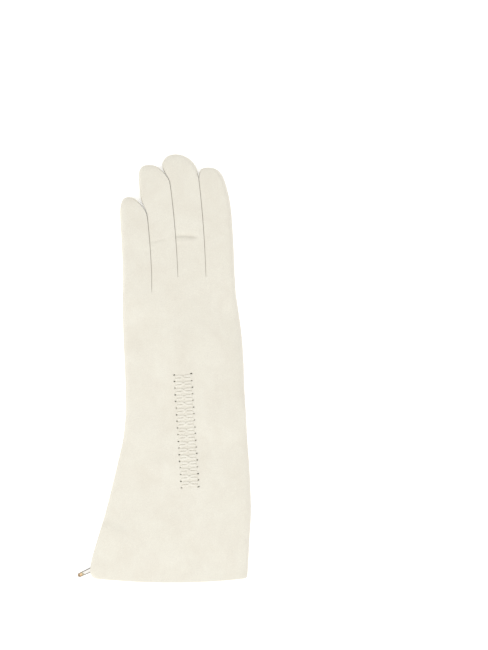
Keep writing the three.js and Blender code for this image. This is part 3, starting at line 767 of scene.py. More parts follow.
def oval(across, along, sides):
    angles = np.arange(sides) * 2 * math.pi / sides
    return np.column_stack([across / 2 * np.cos(angles), along / 2 * np.sin(angles)])


def rectangle(x0, y0, x1, y1):
    return [(x0, y0), (x1, y0), (x1, y1), (x0, y1)]


def on_panel(across, down):
    """A place in the panel's own directions, from the middle of its top row."""
    x = PANEL_TOP[0] + across * np.cos(PANEL_TURN) + down * np.sin(PANEL_TURN)
    y = PANEL_TOP[1] + across * np.sin(PANEL_TURN) - down * np.cos(PANEL_TURN)
    return x, y


def back_z(x, y):
    """Height of the back of the glove, dents included."""
    left = outer_edge(y)
    right = inner_edge(y)
    return top_z(x, y, (x - left) / (right - left)) + relief(x, y)


awls = []
for row in range(PANEL_ROWS):
    for side in (-1, 1):
        stray = chance.normal(0, HOLE_JITTER, 2)
        spot = on_panel(side * PANEL_WIDTH / 2 + stray[0], row * PANEL_PITCH + stray[1])
        size = chance.uniform(HOLE_SMALLEST, HOLE_LARGEST)
        outline = oval(HOLE_ACROSS * size, HOLE_ALONG * size, HOLE_SIDES)
        height = float(back_z(np.array(spot[0]), np.array(spot[1])))
        awls.append(placed(prism(outline, -2.2 * WALL, 2 * WALL), PANEL_TURN, spot, height))
cut(leather["trank"], joined("awls", awls))

thumb_outline = oval(THUMB_HOLE_WIDTH, THUMB_HOLE_LENGTH, THUMB_HOLE_SIDES)
thumb_oval = prism(thumb_outline, 0, THUMB_HEIGHT + GAP + 1.5 * WALL)
half_slot = ZIP_SLOT_WIDTH / 2
slot_outline = rectangle(-half_slot, BEYOND_HEM, half_slot, ZIP_LENGTH + GAP)
slot = prism(slot_outline, -1, TAPE_BOTTOM - GAP)
half_room = TAPE_WIDTH / 2 + GAP
room_outline = rectangle(-half_room, BEYOND_HEM, half_room, HEM_TURN + 2 * GAP)
room = prism(room_outline, TAPE_BOTTOM - GAP, TAPE_BOTTOM + TAPE_THICKNESS + GAP)
below = [placed(thumb_oval, THUMB_TURN, THUMB_BASE), placed(slot, ZIP_GROUP_TURN, ZIP_FOOT)]
cut(leather["trank"], joined("below", below))
cut(leather["trank"], joined("tape_room", [placed(room, ZIP_GROUP_TURN, ZIP_FOOT)]))
print("trank now has", triangles(leather["trank"]), "triangles")

# %% [markdown]
# ## The laced panel
# Flat laces of the same suede run between two columns of holes. Each gap between two rows has a
# pair. Both go straight at first, cross in the middle, and go down the hole of the other row.

# %% Lay the laces
LACE_WIDTH = 1.75
LACE_THICKNESS = 0.5
LACE_APART = 0.222
LACE_JITTER = 0.06
LACE_STATIONS = 30
LACE_SIDES = 10
LACE_SQUARENESS = (0.6, 0.75)
LACE_END_INSET = 0.25
LACE_LIFT = 0.42
OVER_LIFT = 0.9
DIVE_DEPTH = 1.7
CROSSING_STEEPNESS = 5.2
SPREAD_FROM = 0.84
DIVE_FROM = 0.9
OVER_REACH = 0.13
WAIST_REACH = 0.12
WAIST_NARROWS = 0.16
DIVE_NARROWS = 0.55


def lace(row, falling, on_top):
    """One lace between row and the next. It falls from left to right, or rises."""
    share = np.linspace(-1, 1, LACE_STATIONS)
    from_middle = np.abs(share)
    across = share * (PANEL_WIDTH / 2 - LACE_END_INSET)
    way = 1 if falling else -1
    crossing = way * np.tanh(share * CROSSING_STEEPNESS)
    spread = smooth((from_middle - SPREAD_FROM) / (1 - SPREAD_FROM))
    apart = PANEL_PITCH * (LACE_APART + (0.5 - LACE_APART) * spread)
    down = (row + 0.5) * PANEL_PITCH + crossing * apart
    x, y = on_panel(across, down)
    dive = smooth((from_middle - DIVE_FROM) / (1 - DIVE_FROM))
    over = np.exp(-((share / OVER_REACH) ** 2)) * (LACE_THICKNESS * OVER_LIFT if on_top else 0)
    z = back_z(x, y) + LACE_THICKNESS * LACE_LIFT + over - DIVE_DEPTH * WALL * dive
    path = np.column_stack([x, y, z])
    waist = 1 - WAIST_NARROWS * np.exp(-((share / WAIST_REACH) ** 2))
    stretched = chance.uniform(1 - LACE_JITTER, 1 + LACE_JITTER)
    width = LACE_WIDTH * (1 - DIVE_NARROWS * dive) * waist * stretched
    ahead = np.gradient(path, axis=0)
    ahead /= np.linalg.norm(ahead, axis=1)[:, None]
    sideways = np.cross(np.array([0, 0, 1.0]), ahead)
    sideways /= np.linalg.norm(sideways, axis=1)[:, None]
    up = np.cross(ahead, sideways)
    rings = []
    for angle in np.arange(LACE_SIDES) * 2 * math.pi / LACE_SIDES:
        side = squarer(math.cos(angle), LACE_SQUARENESS[0])
        rise = squarer(math.sin(angle), LACE_SQUARENESS[1])
        offset = side * width[:, None] / 2 * sideways + rise * LACE_THICKNESS / 2 * up
        rings.append(path + offset)
    points = np.stack(rings, axis=1).reshape(-1, 3)
    return points, closed_tube(np.arange(len(points)).reshape(LACE_STATIONS, LACE_SIDES))


laces = []
for row in range(PANEL_ROWS - 1):
    for falling in (True, False):
        laces.append(lace(row, falling, falling == (row % 2 == 0)))
panel_laces = joined("panel_laces", laces)
print("laces:", len(laces), "with", triangles(panel_laces), "triangles")

# %% [markdown]
# ## The thumb
# The thumb is its own tube of suede, folded flat beneath the palm with its opening against the
# oval hole. It can't be seen from above, but it lifts the palm a little.

# %% Make the thumb
THUMB_COLUMNS = 18
THUMB_SQUARENESS = (0.9, 0.35)
THUMB_END_ROWS = 8
LAST_END_ROW = 0.3


def thumb_ring(station, skin):
    inset = WALL * skin
    past = max(-station, station - 1, 0)
    straight = min(1, max(0, station))
    half_width = THUMB_WIDTH / 2
    along = straight * THUMB_REACH + (station - straight) * (half_width - inset)
    half = (half_width - inset) * math.sqrt(1 - past * past) * (1 - THUMB_TAPER * straight)
    middle = THUMB_HEIGHT / 2
    half_z = (middle - inset) * math.sqrt(math.sqrt(1 - past * past))
    angle = np.arange(2 * THUMB_COLUMNS) * math.pi / THUMB_COLUMNS
    side = squarer(np.cos(angle), THUMB_SQUARENESS[0])
    rise = squarer(np.sin(angle), THUMB_SQUARENESS[1])
    points = np.column_stack([-side * half, np.full_like(side, along), middle + rise * half_z])
    return turned(points, THUMB_TURN, THUMB_BASE)


steps = np.arange(1, THUMB_END_ROWS + 1) / (THUMB_END_ROWS + LAST_END_ROW)
ends = np.sin(math.pi / 2 * steps)
stations = np.concatenate([-ends[::-1], np.linspace(0, 1, 22), 1 + ends])
thumb_skins = []
for skin in (0, 1):
    rings = [thumb_ring(station, skin) for station in stations]
    points = np.vstack(rings)
    faces = closed_tube(np.arange(len(points)).reshape(len(stations), -1))
    if skin:
        faces = [face[::-1] for face in faces]
    thumb_skins.append((points, faces))
thumb = joined("thumb_suede", thumb_skins)
opening = prism(thumb_outline, THUMB_HEIGHT / 2, THUMB_HEIGHT + WALL)
cut(thumb, joined("opening", [placed(opening, THUMB_TURN, THUMB_BASE)]))
print("thumb:", triangles(thumb), "triangles")

# %% [markdown]
# ## The zip
# A woven tape carries two rows of brass teeth. It lies closed beneath the outer side of the
# cuff. The slider hangs below the teeth, and its pull lies out past the corner of the hem.

# %% Make the tape and the teeth
TAPE_SIDES = 28
TAPE_STATIONS = 60
TAPE_SQUARENESS = (0.5, 0.4)
SELVEDGE = 0.8
CORD_RISE = 0.12
CORD_HALF = 0.5
TOOTH_EDGE = 0.15
TOOTH_TOP = 0.88


def in_zip(points, along=0):
    return turned(points, ZIP_GROUP_TURN, ZIP_FOOT + ZIP_WAY * along)


def tape_points():
    """A strip with rounded selvedges and a corded middle, as rings along its length."""
    ys = np.linspace(ZIP_START, ZIP_LENGTH, TAPE_STATIONS)
    angle = np.arange(TAPE_SIDES) * 2 * math.pi / TAPE_SIDES
    x = squarer(np.cos(angle), TAPE_SQUARENESS[0]) * TAPE_WIDTH / 2
    z = squarer(np.sin(angle), TAPE_SQUARENESS[1]) * TAPE_THICKNESS / 2
    from_cord = np.abs(x) - CHAIN_WIDTH / 2 - CORD_HALF
    cords = CORD_RISE * np.exp(-((from_cord / CORD_HALF) ** 2))
    z = z * (SELVEDGE + cords / TAPE_THICKNESS * 2) + TAPE_BOTTOM + TAPE_THICKNESS / 2
    points = np.vstack([np.column_stack([x, np.full(TAPE_SIDES, y), z]) for y in ys])
    return points, closed_tube(np.arange(len(points)).reshape(TAPE_STATIONS, TAPE_SIDES)[:, ::-1])


points, faces = tape_points()
zip_tape = new_piece("zip_tape_cloth", in_zip(points), faces)


def tooth(at, side):
    """One tooth: a waisted bar that reaches past the middle, with a round head."""
    outline = [
        (-1.05, -0.62), (-0.35, -0.62), (0.0, -0.34), (0.45, -0.42), (0.80, -0.18),
        (0.80, 0.18), (0.45, 0.42), (0.0, 0.34), (-0.35, 0.62), (-1.05, 0.62),
    ]
    reach = CHAIN_WIDTH / 2 - 1.05
    corners = [(side * (x - reach), y * side) for x, y in outline]
    points = prism(corners, CHAIN_BOTTOM + 0.1, CHAIN_TOP - 0.05)[0]
    middle = points.mean(axis=0)
    inner = points.copy()
    inner[:, :2] = middle[:2] + (points[:, :2] - middle[:2]) * TOOTH_TOP
    points[:, 2] += np.where(points[:, 2] > middle[2], -TOOTH_EDGE, TOOTH_EDGE)
    count = len(outline)
    whole = np.vstack([inner[:count], points[:count], points[count:], inner[count:]])
    whole[:, 1] += at
    return in_zip(whole), closed_tube(np.arange(4 * count).reshape(4, count))


teeth = []
tooth_count = int((ZIP_LENGTH - ZIP_START - 3 * GAP) / TOOTH_PITCH)
for step in range(tooth_count):
    at = ZIP_START + 0.9 + step * TOOTH_PITCH
    teeth.append(tooth(at, 1))
    teeth.append(tooth(at + TOOTH_PITCH / 2, -1))
zip_teeth = joined("zip_teeth", teeth)
print("teeth:", len(teeth), "with", triangles(zip_teeth), "triangles")

# %% [markdown]
# ## The zip pull
# The only metal that shows: a slim plated tab with a soft edge, an eye at its root and a small
# hole in its brass-coloured tip. It is drawn as a flat outline with holes, given a bevel, and
# turned about its pivot so that its tip rests on the surface.

# %% Make the pull
PULL_BEVEL = 0.42
PULL_HOLE_SHOWN = 0.5
HEADING = math.pi + PULL_TURN
DIP = math.asin((PIVOT_Z - PULL_THICKNESS / 2) / PULL_LENGTH)
EYE_END = math.hypot(BAIL_SPAN / 2 + BAIL_WIRE / 2, PIVOT_Z - BAIL_FOOT_Z) + GAP
EYE_HALF = BAIL_WIRE / 2 + 2 * GAP
TAPER_FROM = PULL_TAPER_FROM * PULL_LENGTH
TIP_CENTRE = PULL_LENGTH - PULL_TIP_WIDTH / 2


def round_end(centre, radius, start, end, steps):
    angles = np.linspace(start, end, steps)
    return [(centre + radius * math.cos(a), radius * math.sin(a)) for a in angles]


def add_outline(curve, outline):
    spline = curve.splines.new("POLY")
    spline.points.add(len(outline) - 1)
    for point, (x, y) in zip(spline.points, outline):
        point.co = (x * MM, y * MM, 0, 1)
    spline.use_cyclic_u = True


def pull_curve(name, thickness, holes):
    curve = bpy.data.curves.new(name, "CURVE")
    curve.dimensions = "2D"
    curve.fill_mode = "BOTH"
    half = PULL_WIDTH / 2 - PULL_BEVEL
    tip_half = PULL_TIP_WIDTH / 2 - PULL_BEVEL
    back = -PULL_THICKNESS / 2 + PULL_BEVEL
    outline = [(back, -half), (TAPER_FROM, -half)]
    outline += round_end(TIP_CENTRE, tip_half, -math.pi / 2, math.pi / 2, 20)
    outline += [(TAPER_FROM, half), (back, half)]
    add_outline(curve, outline)
    for hole in holes:
        add_outline(curve, hole)
    curve.extrude = (thickness / 2 - PULL_BEVEL) * MM
    curve.bevel_depth = PULL_BEVEL * MM
    curve.bevel_resolution = 3
    return in_scene(name, curve)


hole_radius = PULL_HOLE_SHOWN / 2 + PULL_BEVEL
bar = PULL_THICKNESS / 2
eye = rectangle(bar - PULL_BEVEL, -EYE_HALF - PULL_BEVEL, EYE_END + PULL_BEVEL, EYE_HALF + PULL_BEVEL)
tip_hole = round_end(TIP_CENTRE, hole_radius, 0, 2 * math.pi * 23 / 24, 24)
drawn = pull_curve("pull_outline", PULL_THICKNESS, [eye, tip_hole])
depsgraph = bpy.context.evaluated_depsgraph_get()
pull_mesh = bpy.data.meshes.new_from_object(drawn.evaluated_get(depsgraph))
bpy.data.objects.remove(drawn)
pull = in_scene("zip_pull_tab", pull_mesh)
pivot = ZIP_FOOT + ZIP_WAY * SLIDER_AT
place = Matrix.Translation(Vector((pivot[0] * MM, pivot[1] * MM, PIVOT_Z * MM)))
pull.data.transform(place @ Matrix.Rotation(HEADING, 4, "Z") @ Matrix.Rotation(DIP, 4, "Y"))
pull.data.shade_smooth()
pull.data.set_sharp_from_angle(angle=math.radians(35))
print("pull:", triangles(pull), "triangles")

# %% [markdown]
# ## The slider
# It is hidden beneath the leather: a plate below the teeth, a cheek on each side of them, and a
# wire bail for the pull, turned to the way that the pull points.

# %% Make the slider
SLIDER_LENGTH = 8.4
SLIDER_WIDTH = 5.6
CHEEK_DROP = 0.2
PLATE_BEVEL = 0.3
CHEEK_BEVEL = 0.15
BEVEL_INSET = 0.93
WIRE_BEND = 0.6
WIRE_SIDES = 12
BEND_STEPS = 5


def bevelled_box(low, high, bevel):
    """A box with its upper and lower edges and its corners cut back a little."""
    x0, y0, z0 = low
    x1, y1, z1 = high
    outline = [
        (x0 + bevel, y0), (x1 - bevel, y0), (x1, y0 + bevel), (x1, y1 - bevel),
        (x1 - bevel, y1), (x0 + bevel, y1), (x0, y1 - bevel), (x0, y0 + bevel),
    ]
    middle = np.array([(x0 + x1) / 2, (y0 + y1) / 2])
    inner = [tuple(middle + (np.array(p) - middle) * BEVEL_INSET) for p in outline]
    rings = [(inner, z0), (outline, z0 + bevel / 2), (outline, z1 - bevel / 2), (inner, z1)]
    points = np.array([[x, y, z] for ring, z in rings for x, y in ring])
    return points, closed_tube(np.arange(len(points)).reshape(4, 8))


def bail_ring():
    """A round wire bent up, across and down, as rings along it. Its feet stand in the plate."""
    radius = BAIL_WIRE / 2
    top = BAIL_FOOT_Z + radius
    half = BAIL_SPAN / 2
    path = [(-half, PLATE_BOTTOM + 0.1), (-half, top + WIRE_BEND)]
    for step in range(1, BEND_STEPS + 1):
        turn = math.pi / 2 * step / BEND_STEPS
        x = -half + WIRE_BEND * (1 - math.cos(turn))
        path.append((x, top + WIRE_BEND * (1 - math.sin(turn))))
    path += [(-x, z) for x, z in reversed(path)]
    rings = []
    for number, (x, z) in enumerate(path):
        before = path[max(0, number - 1)]
        after = path[min(len(path) - 1, number + 1)]
        way = np.array([after[0] - before[0], after[1] - before[1]])
        way /= np.linalg.norm(way)
        for angle in np.arange(WIRE_SIDES) * 2 * math.pi / WIRE_SIDES:
            side = radius * math.cos(angle)
            rings.append([x - way[1] * side, radius * math.sin(angle), z + way[0] * side])
    return np.array(rings), closed_tube(np.arange(len(rings)).reshape(len(path), WIRE_SIDES))


long = SLIDER_LENGTH / 2
wide = SLIDER_WIDTH / 2
inner = CHAIN_WIDTH / 2 + GAP
cheek_top = CHAIN_TOP - CHEEK_DROP
plates = [
    bevelled_box((-wide, -long, PLATE_BOTTOM), (wide, long, PLATE_TOP), PLATE_BEVEL),
    bevelled_box((-wide, -long, PLATE_TOP), (-inner, long, cheek_top), CHEEK_BEVEL),
    bevelled_box((inner, -long, PLATE_TOP), (wide, long, cheek_top), CHEEK_BEVEL),
]
slider_parts = [(in_zip(points, SLIDER_AT), faces) for points, faces in plates]
slider_parts.append(placed(bail_ring(), HEADING - math.pi / 2, pivot))
zip_slider = joined("zip_slider_body", slider_parts)
print("slider:", triangles(zip_slider), "triangles")

# %% [markdown]
# ## Where the seam and the painted slit shade run
# The trank is closed along the little finger's side with an inseam, which shows only as a fine
# line. Fainter seams join the fingers to their sidewalls, and beside each slit shade is painted on
# the finger to its index side, for the shade on its rounded edge. Every corner of the trank gets a
# value, 1 on the seam or at a slit's edge and 0 away from them, so that its material can sink these
# places and paint them darker.

# %% Mark the seam and the painted slit shade on the leather
SEAM_AND_SLIT_SHADE_REACH = 1.1
SLIT_SHADE_FAINT = 0.15
SLIT_SHADE_START = 2.0


def mark_seam_and_slit_shade(piece, distances):
    values = np.clip(1 - distances / SEAM_AND_SLIT_SHADE_REACH, 0, 1).astype(np.float32)
    piece.data.attributes.new("seam_and_slit_shade", "FLOAT", "POINT").data.foreach_set("value", values)


def corners_of(piece):
    flat = np.zeros(len(piece.data.vertices) * 3, np.float32)
    piece.data.vertices.foreach_get("co", flat)
    return flat.reshape(-1, 3).astype(float) / MM


def outer_seam_distance(points):
    """How far points are from the outer seam, half way up the little finger's side."""
    x, y, z = points.T
    shortened = PALM_LENGTH / (PALM_LENGTH - LITTLE_ROOT_DROP)
    hand_y = GAUNTLET_LENGTH + (y - GAUNTLET_LENGTH) * shortened
    on_hand = outer_edge(np.where(y > GAUNTLET_LENGTH, hand_y, y))
    on_finger = bound_x(0, y - ROOTS_Y) + SLIT_WIDTH / 2
    edge = np.where(y > ROOTS_Y - LITTLE_ROOT_DROP, on_finger, on_hand)
    share = np.zeros_like(x)
    middle = (top_z(edge, y, share) + underside_z(edge, y)) / 2
    return np.hypot((x - edge) * 0.5, z - middle)


def slit_shade_distance(points):
    """How far points on the fingers are to the index side of the nearest slit."""
    x, y = points.T[:2]
    nearest = np.full_like(x, SEAM_AND_SLIT_SHADE_REACH)
    for bound in (1, 2, 3):
        aside = x - bound_x(bound, y - ROOTS_Y)
        on_finger = (aside >= 0) & (y > roots_line(x) + SLIT_SHADE_START)
        nearest = np.where(on_finger, np.minimum(nearest, aside + SLIT_SHADE_FAINT), nearest)
    return nearest


trank_points = corners_of(leather["trank"])
# One value carries both the seam's line and the painted shade beside each slit.
nearest_seam_or_slit_shade = np.minimum(outer_seam_distance(trank_points), slit_shade_distance(trank_points))
mark_seam_and_slit_shade(leather["trank"], nearest_seam_or_slit_shade)
print("seam marked on", len(leather["trank"].data.vertices), "corners")

# %% [markdown]
# ## Shared effects
# Node groups make the effects that several finishes share. They put out masks, shades and
# heights only, so that each material decides what they do to its colour, roughness and relief.

# %% Node group helpers
PER_METRE = 1000


class Group:
    """A shader node group that is built a node at a time."""

    def __init__(self, name, inputs, outputs):
        self.tree = bpy.data.node_groups.new(name, "ShaderNodeTree")
        for label, kind, value in inputs:
            socket = self.tree.interface.new_socket(label, in_out="INPUT", socket_type=kind)
            if value is not None:
                socket.default_value = value
        for label, kind in outputs:
            self.tree.interface.new_socket(label, in_out="OUTPUT", socket_type=kind)
        self.start = self.tree.nodes.new("NodeGroupInput")
        self.end = self.tree.nodes.new("NodeGroupOutput")

    def put(self, label, source):
        self.tree.links.new(source, self.end.inputs[label])


def add_node(tree, kind, inputs, **settings):
    """A node with its settings. An input is a value or the output that feeds it."""
    node = tree.nodes.new(kind)
    for name, value in settings.items():
        setattr(node, name, value)
    for label, value in inputs.items():
        if isinstance(value, bpy.types.NodeSocket):
            tree.links.new(value, node.inputs[label])
        else:
            node.inputs[label].default_value = value
    return node


def maths(tree, operation, a, b=0.0, c=0.0):
    return add_node(tree, "ShaderNodeMath", {0: a, 1: b, 2: c}, operation=operation).outputs[0]


def noise(tree, where, scale, detail=2.0, roughness=0.5, distortion=0.0):
    inputs = {"Vector": where, "Scale": scale, "Detail": detail, "Roughness": roughness}
    inputs["Distortion"] = distortion
    return add_node(tree, "ShaderNodeTexNoise", inputs).outputs["Fac"]


def remap(tree, value, low, high, to_low, to_high):
    inputs = {"Value": value, "From Min": low, "From Max": high, "To Min": to_low, "To Max": to_high}
    return add_node(tree, "ShaderNodeMapRange", inputs, clamp=True).outputs["Result"]


def mix_colour(tree, share, a, b, blend="MIX"):
    inputs = {0: share, 6: a, 7: b}
    return add_node(tree, "ShaderNodeMix", inputs, data_type="RGBA", blend_type=blend).outputs[2]


def measured(tree, where, origin, ways):
    """Millimetres from an origin along each of some level ways."""
    start = Vector((origin[0], origin[1], 0)) * MM
    offset = add_node(tree, "ShaderNodeVectorMath", {0: where, 1: start}, operation="SUBTRACT")
    found = []
    for x, y in ways:
        inputs = {0: offset.outputs[0], 1: Vector((x, y, 0)) * PER_METRE}
        dot = add_node(tree, "ShaderNodeVectorMath", inputs, operation="DOT_PRODUCT")
        found.append(dot.outputs["Value"])
    return found


def hypotenuse(tree, a, b):
    square = maths(tree, "MULTIPLY_ADD", a, a, maths(tree, "MULTIPLY", b, b))
    return maths(tree, "SQRT", square)


# %% [markdown]
# ## Nap, blotches and wear
# Suede is the brushed flesh side of the skin. Its nap is a fuzz of fine fibres that lie this way
# and that, so brushed patches look lighter or darker, and the fibres give a fine grain. Handling
# darkens it in soft blotches.

# %% Build the nap and the wear


def nap_group():
    inputs = [("Vector", "NodeSocketVector", None), ("Patch size", "NodeSocketFloat", 16.0)]
    outputs = [(label, "NodeSocketFloat") for label in ("Shade", "Grain", "Height")]
    group = Group("suede_nap", inputs, outputs)
    tree = group.tree
    where = group.start.outputs["Vector"]
    patch_scale = maths(tree, "DIVIDE", PER_METRE, group.start.outputs["Patch size"])
    patches = noise(tree, where, patch_scale, 3.0, 0.55, 0.6)
    streak_way = add_node(tree, "ShaderNodeMapping", {"Vector": where, "Scale": (1.0, 0.35, 1.0)})
    streaks = noise(tree, streak_way.outputs[0], 0.35 * PER_METRE, 3.0, 0.6)
    fibres = noise(tree, where, 1.1 * PER_METRE, 5.0, 0.75)
    fuzz = noise(tree, where, 3.2 * PER_METRE, 3.0, 0.7)
    broad = maths(tree, "MULTIPLY_ADD", patches, 0.55, 0.0)
    shade = maths(tree, "MULTIPLY_ADD", streaks, 0.20, broad)
    shade = maths(tree, "MULTIPLY_ADD", fibres, 0.25, shade)
    group.put("Shade", shade)
    height = maths(tree, "MULTIPLY_ADD", fuzz, 0.4, maths(tree, "MULTIPLY", fibres, 0.6))
    group.put("Height", height)
    lie = maths(tree, "MULTIPLY_ADD", fuzz, 0.75, maths(tree, "MULTIPLY", fibres, 0.25))
    group.put("Grain", remap(tree, lie, 0.38, 0.62, 0.0, 1.0))
    return group.tree


def wear_group():
    inputs = [("Vector", "NodeSocketVector", None), ("Spot size", "NodeSocketFloat", 28.0)]
    outputs = [("Soil", "NodeSocketFloat"), ("Rub", "NodeSocketFloat")]
    group = Group("handling_wear", inputs, outputs)
    tree = group.tree
    where = group.start.outputs["Vector"]
    scale = maths(tree, "DIVIDE", PER_METRE, group.start.outputs["Spot size"])
    soil = noise(tree, where, scale, 5.0, 0.65, 1.2)
    group.put("Soil", remap(tree, soil, 0.45, 0.75, 0.0, 1.0))
    rub = noise(tree, where, maths(tree, "MULTIPLY", scale, 2.7), 3.0, 0.6)
    group.put("Rub", remap(tree, rub, 0.4, 0.7, 0.0, 1.0))
    return group.tree


NAP = nap_group()
WEAR = wear_group()


def use_group(tree, group, inputs):
    return add_node(tree, "ShaderNodeGroup", inputs, node_tree=group)


def new_material(name, base, roughness, metallic=0.0):
    material = bpy.data.materials.new(name)
    material.use_nodes = True
    tree = material.node_tree
    shader = tree.nodes["Principled BSDF"]
    shader.inputs["Base Color"].default_value = (*base, 1)
    shader.inputs["Roughness"].default_value = roughness
    shader.inputs["Metallic"].default_value = metallic
    where = tree.nodes.new("ShaderNodeTexCoord").outputs["Object"]
    return material, tree, shader, where


def bump(tree, shader, height, strength, distance):
    inputs = {"Height": height, "Strength": strength, "Distance": distance * MM}
    node = add_node(tree, "ShaderNodeBump", inputs)
    tree.links.new(node.outputs["Normal"], shader.inputs["Normal"])


print("groups:", NAP.name, WEAR.name)

# %% [markdown]
# ## Puckers round the awl holes
# The laces pull the leather in at each hole, which leaves a small dimple inside a raised rim.
# A node group turns a place into the panel's own directions and repeats one pucker by rows.
# It is only for the back of the glove, above the height of its edge.

# %% Build the puckers
PUCKER_RADIUS = 1.9
PUCKER_RIM = 0.55


def pucker_group():
    inputs = [("Vector", "NodeSocketVector", None), ("Radius", "NodeSocketFloat", PUCKER_RADIUS)]
    group = Group("hole_puckers", inputs, [("Dimple", "NodeSocketFloat"), ("Rim", "NodeSocketFloat")])
    tree = group.tree
    where = group.start.outputs["Vector"]
    cosine = math.cos(PANEL_TURN)
    sine = math.sin(PANEL_TURN)
    across, down = measured(tree, where, PANEL_TOP, [(cosine, sine), (sine, -cosine)])
    aside = maths(tree, "SUBTRACT", maths(tree, "ABSOLUTE", across), PANEL_WIDTH / 2)
    rows = maths(tree, "DIVIDE", down, PANEL_PITCH)
    from_row = maths(tree, "SUBTRACT", rows, maths(tree, "ROUND", rows))
    from_row = maths(tree, "MULTIPLY", from_row, PANEL_PITCH)
    from_hole = hypotenuse(tree, aside, from_row)
    distance = maths(tree, "DIVIDE", from_hole, group.start.outputs["Radius"])
    start = maths(tree, "GREATER_THAN", rows, -0.5)
    stop = maths(tree, "LESS_THAN", rows, PANEL_ROWS - 0.5)
    height = add_node(tree, "ShaderNodeSeparateXYZ", {0: where}).outputs[2]
    on_back = maths(tree, "GREATER_THAN", height, EDGE_TOP_Z * MM)
    within = maths(tree, "MULTIPLY", maths(tree, "MULTIPLY", start, stop), on_back)
    dimple = maths(tree, "MULTIPLY", remap(tree, distance, 0.2, 0.9, 1.0, 0.0), within)
    group.put("Dimple", dimple)
    outside = remap(tree, aside, 0.0, 0.6, 0.0, 1.0)
    ring = maths(tree, "ABSOLUTE", maths(tree, "SUBTRACT", distance, PUCKER_RIM))
    rim = maths(tree, "MULTIPLY", remap(tree, ring, 0.0, 0.3, 1.0, 0.0), outside)
    group.put("Rim", maths(tree, "MULTIPLY", rim, within))
    return group.tree


PUCKERS = pucker_group()
print("group:", PUCKERS.name)

# %% [markdown]
# ## Suede
# Cream kid suede. Its base shade moves a little with the nap and the handling, and the fuzz of
# fibres catches light at a slant, so there is a faint sheen. The seam sinks and is darker, and
# beside each slit the finger's edge sinks and gets painted shade.

# %% Make the suede
SUEDE_LIGHT = (0.730, 0.705, 0.618, 1)
SUEDE_DARK = (0.690, 0.655, 0.570, 1)
SUEDE_SOIL = (0.640, 0.590, 0.490, 1)
# Dark brown of the seam's line, also used as painted shade beside the finger slits.
SEAM_AND_PAINTED_SLIT_SHADE = (0.42, 0.37, 0.28, 1)
GRAIN = 0.075
SEAM_AND_SLIT_SHADE_DARKNESS = 0.5
SEAM_DEPTH = 2.5
PUCKER_DEPTH = 1.2
PUCKER_RISE = 1.6


def suede(name, light=SUEDE_LIGHT, dark=SUEDE_DARK, patch=16.0, soil=0.22, laced=False):
    material, tree, shader, where = new_material(name, light[:3], 0.95)
    nap = use_group(tree, NAP, {"Vector": where, "Patch size": patch})
    wear = use_group(tree, WEAR, {"Vector": where})
    share = remap(tree, nap.outputs["Shade"], 0.36, 0.64, 0.0, 1.0)
    colour = mix_colour(tree, share, dark, light)
    grain = maths(tree, "MULTIPLY_ADD", nap.outputs["Grain"], 2 * GRAIN, 1 - GRAIN)
    colour = mix_colour(tree, 1.0, colour, grain, "MULTIPLY")
    dirt = maths(tree, "MULTIPLY", wear.outputs["Soil"], soil)
    colour = mix_colour(tree, dirt, colour, SUEDE_SOIL)
    # Where the value is high the colour goes darker: the seam's line, and painted shade beside each
    # slit.
    seam_and_slit_shade = add_node(tree, "ShaderNodeAttribute", {}, attribute_name="seam_and_slit_shade").outputs["Fac"]
    line = remap(tree, seam_and_slit_shade, 0.35, 1.0, 0.0, SEAM_AND_SLIT_SHADE_DARKNESS)
    colour = mix_colour(tree, line, colour, SEAM_AND_PAINTED_SLIT_SHADE)
    tree.links.new(colour, shader.inputs["Base Color"])
    rough = remap(tree, wear.outputs["Rub"], 0.0, 1.0, 0.97, 0.86)
    tree.links.new(rough, shader.inputs["Roughness"])
    shader.inputs["Specular IOR Level"].default_value = 0.25
    shader.inputs["Sheen Weight"].default_value = 0.12
    shader.inputs["Sheen Roughness"].default_value = 0.6
    height = maths(tree, "MULTIPLY_ADD", seam_and_slit_shade, -SEAM_DEPTH, nap.outputs["Height"])
    if laced:
        puckers = use_group(tree, PUCKERS, {"Vector": where})
        height = maths(tree, "MULTIPLY_ADD", puckers.outputs["Dimple"], -PUCKER_DEPTH, height)
        height = maths(tree, "MULTIPLY_ADD", puckers.outputs["Rim"], PUCKER_RISE, height)
    bump(tree, shader, height, 0.5, 0.3)
    return material


trank_suede = suede("cream_suede", laced=True)
fourchette_suede = suede("cream_suede_sidewall", light=(0.72, 0.69, 0.60, 1), patch=11.0)
# The laces are a lighter copy of the suede: a painted highlight on the raised laces.
highlit_lace_suede = suede("cream_suede_lace", light=(0.76, 0.735, 0.65, 1), patch=6.0, soil=0.1)
thumb_leather = suede("cream_suede_thumb", patch=13.0, soil=0.3)
print("suede finishes ready")

# %% [markdown]
# ## Zip finishes
# The tape is a cream twill weave. The teeth are brass, dulled in patches. The tab and slider are
# bright nickel plate with fine scratches. The plate has gone from the tab's tip, where the brass
# beneath shows golden. Shade is painted along the tab's edge, and a painted shadow rings its hole.

# %% Make the zip's finishes
TAPE_DARK = (0.50, 0.45, 0.35, 1)
TAPE_LIGHT = (0.72, 0.67, 0.56, 1)
TAPE_SOIL = (0.38, 0.32, 0.23, 1)
BRASS = (0.78, 0.58, 0.28, 1)
BRASS_DULL = (0.42, 0.28, 0.12, 1)
NICKEL = (0.90, 0.88, 0.84, 1)
NICKEL_DULL = (0.66, 0.62, 0.55, 1)
NICKEL_PAINTED_SHADE = (0.16, 0.14, 0.11, 1)
TIP_GOLD = (0.96, 0.74, 0.48, 1)
TIP_GOLD_DULL = (0.84, 0.56, 0.30, 1)
TIP_PAINTED_SHADE = (0.15, 0.085, 0.03, 1)
TARNISH = (0.20, 0.20, 0.09, 1)


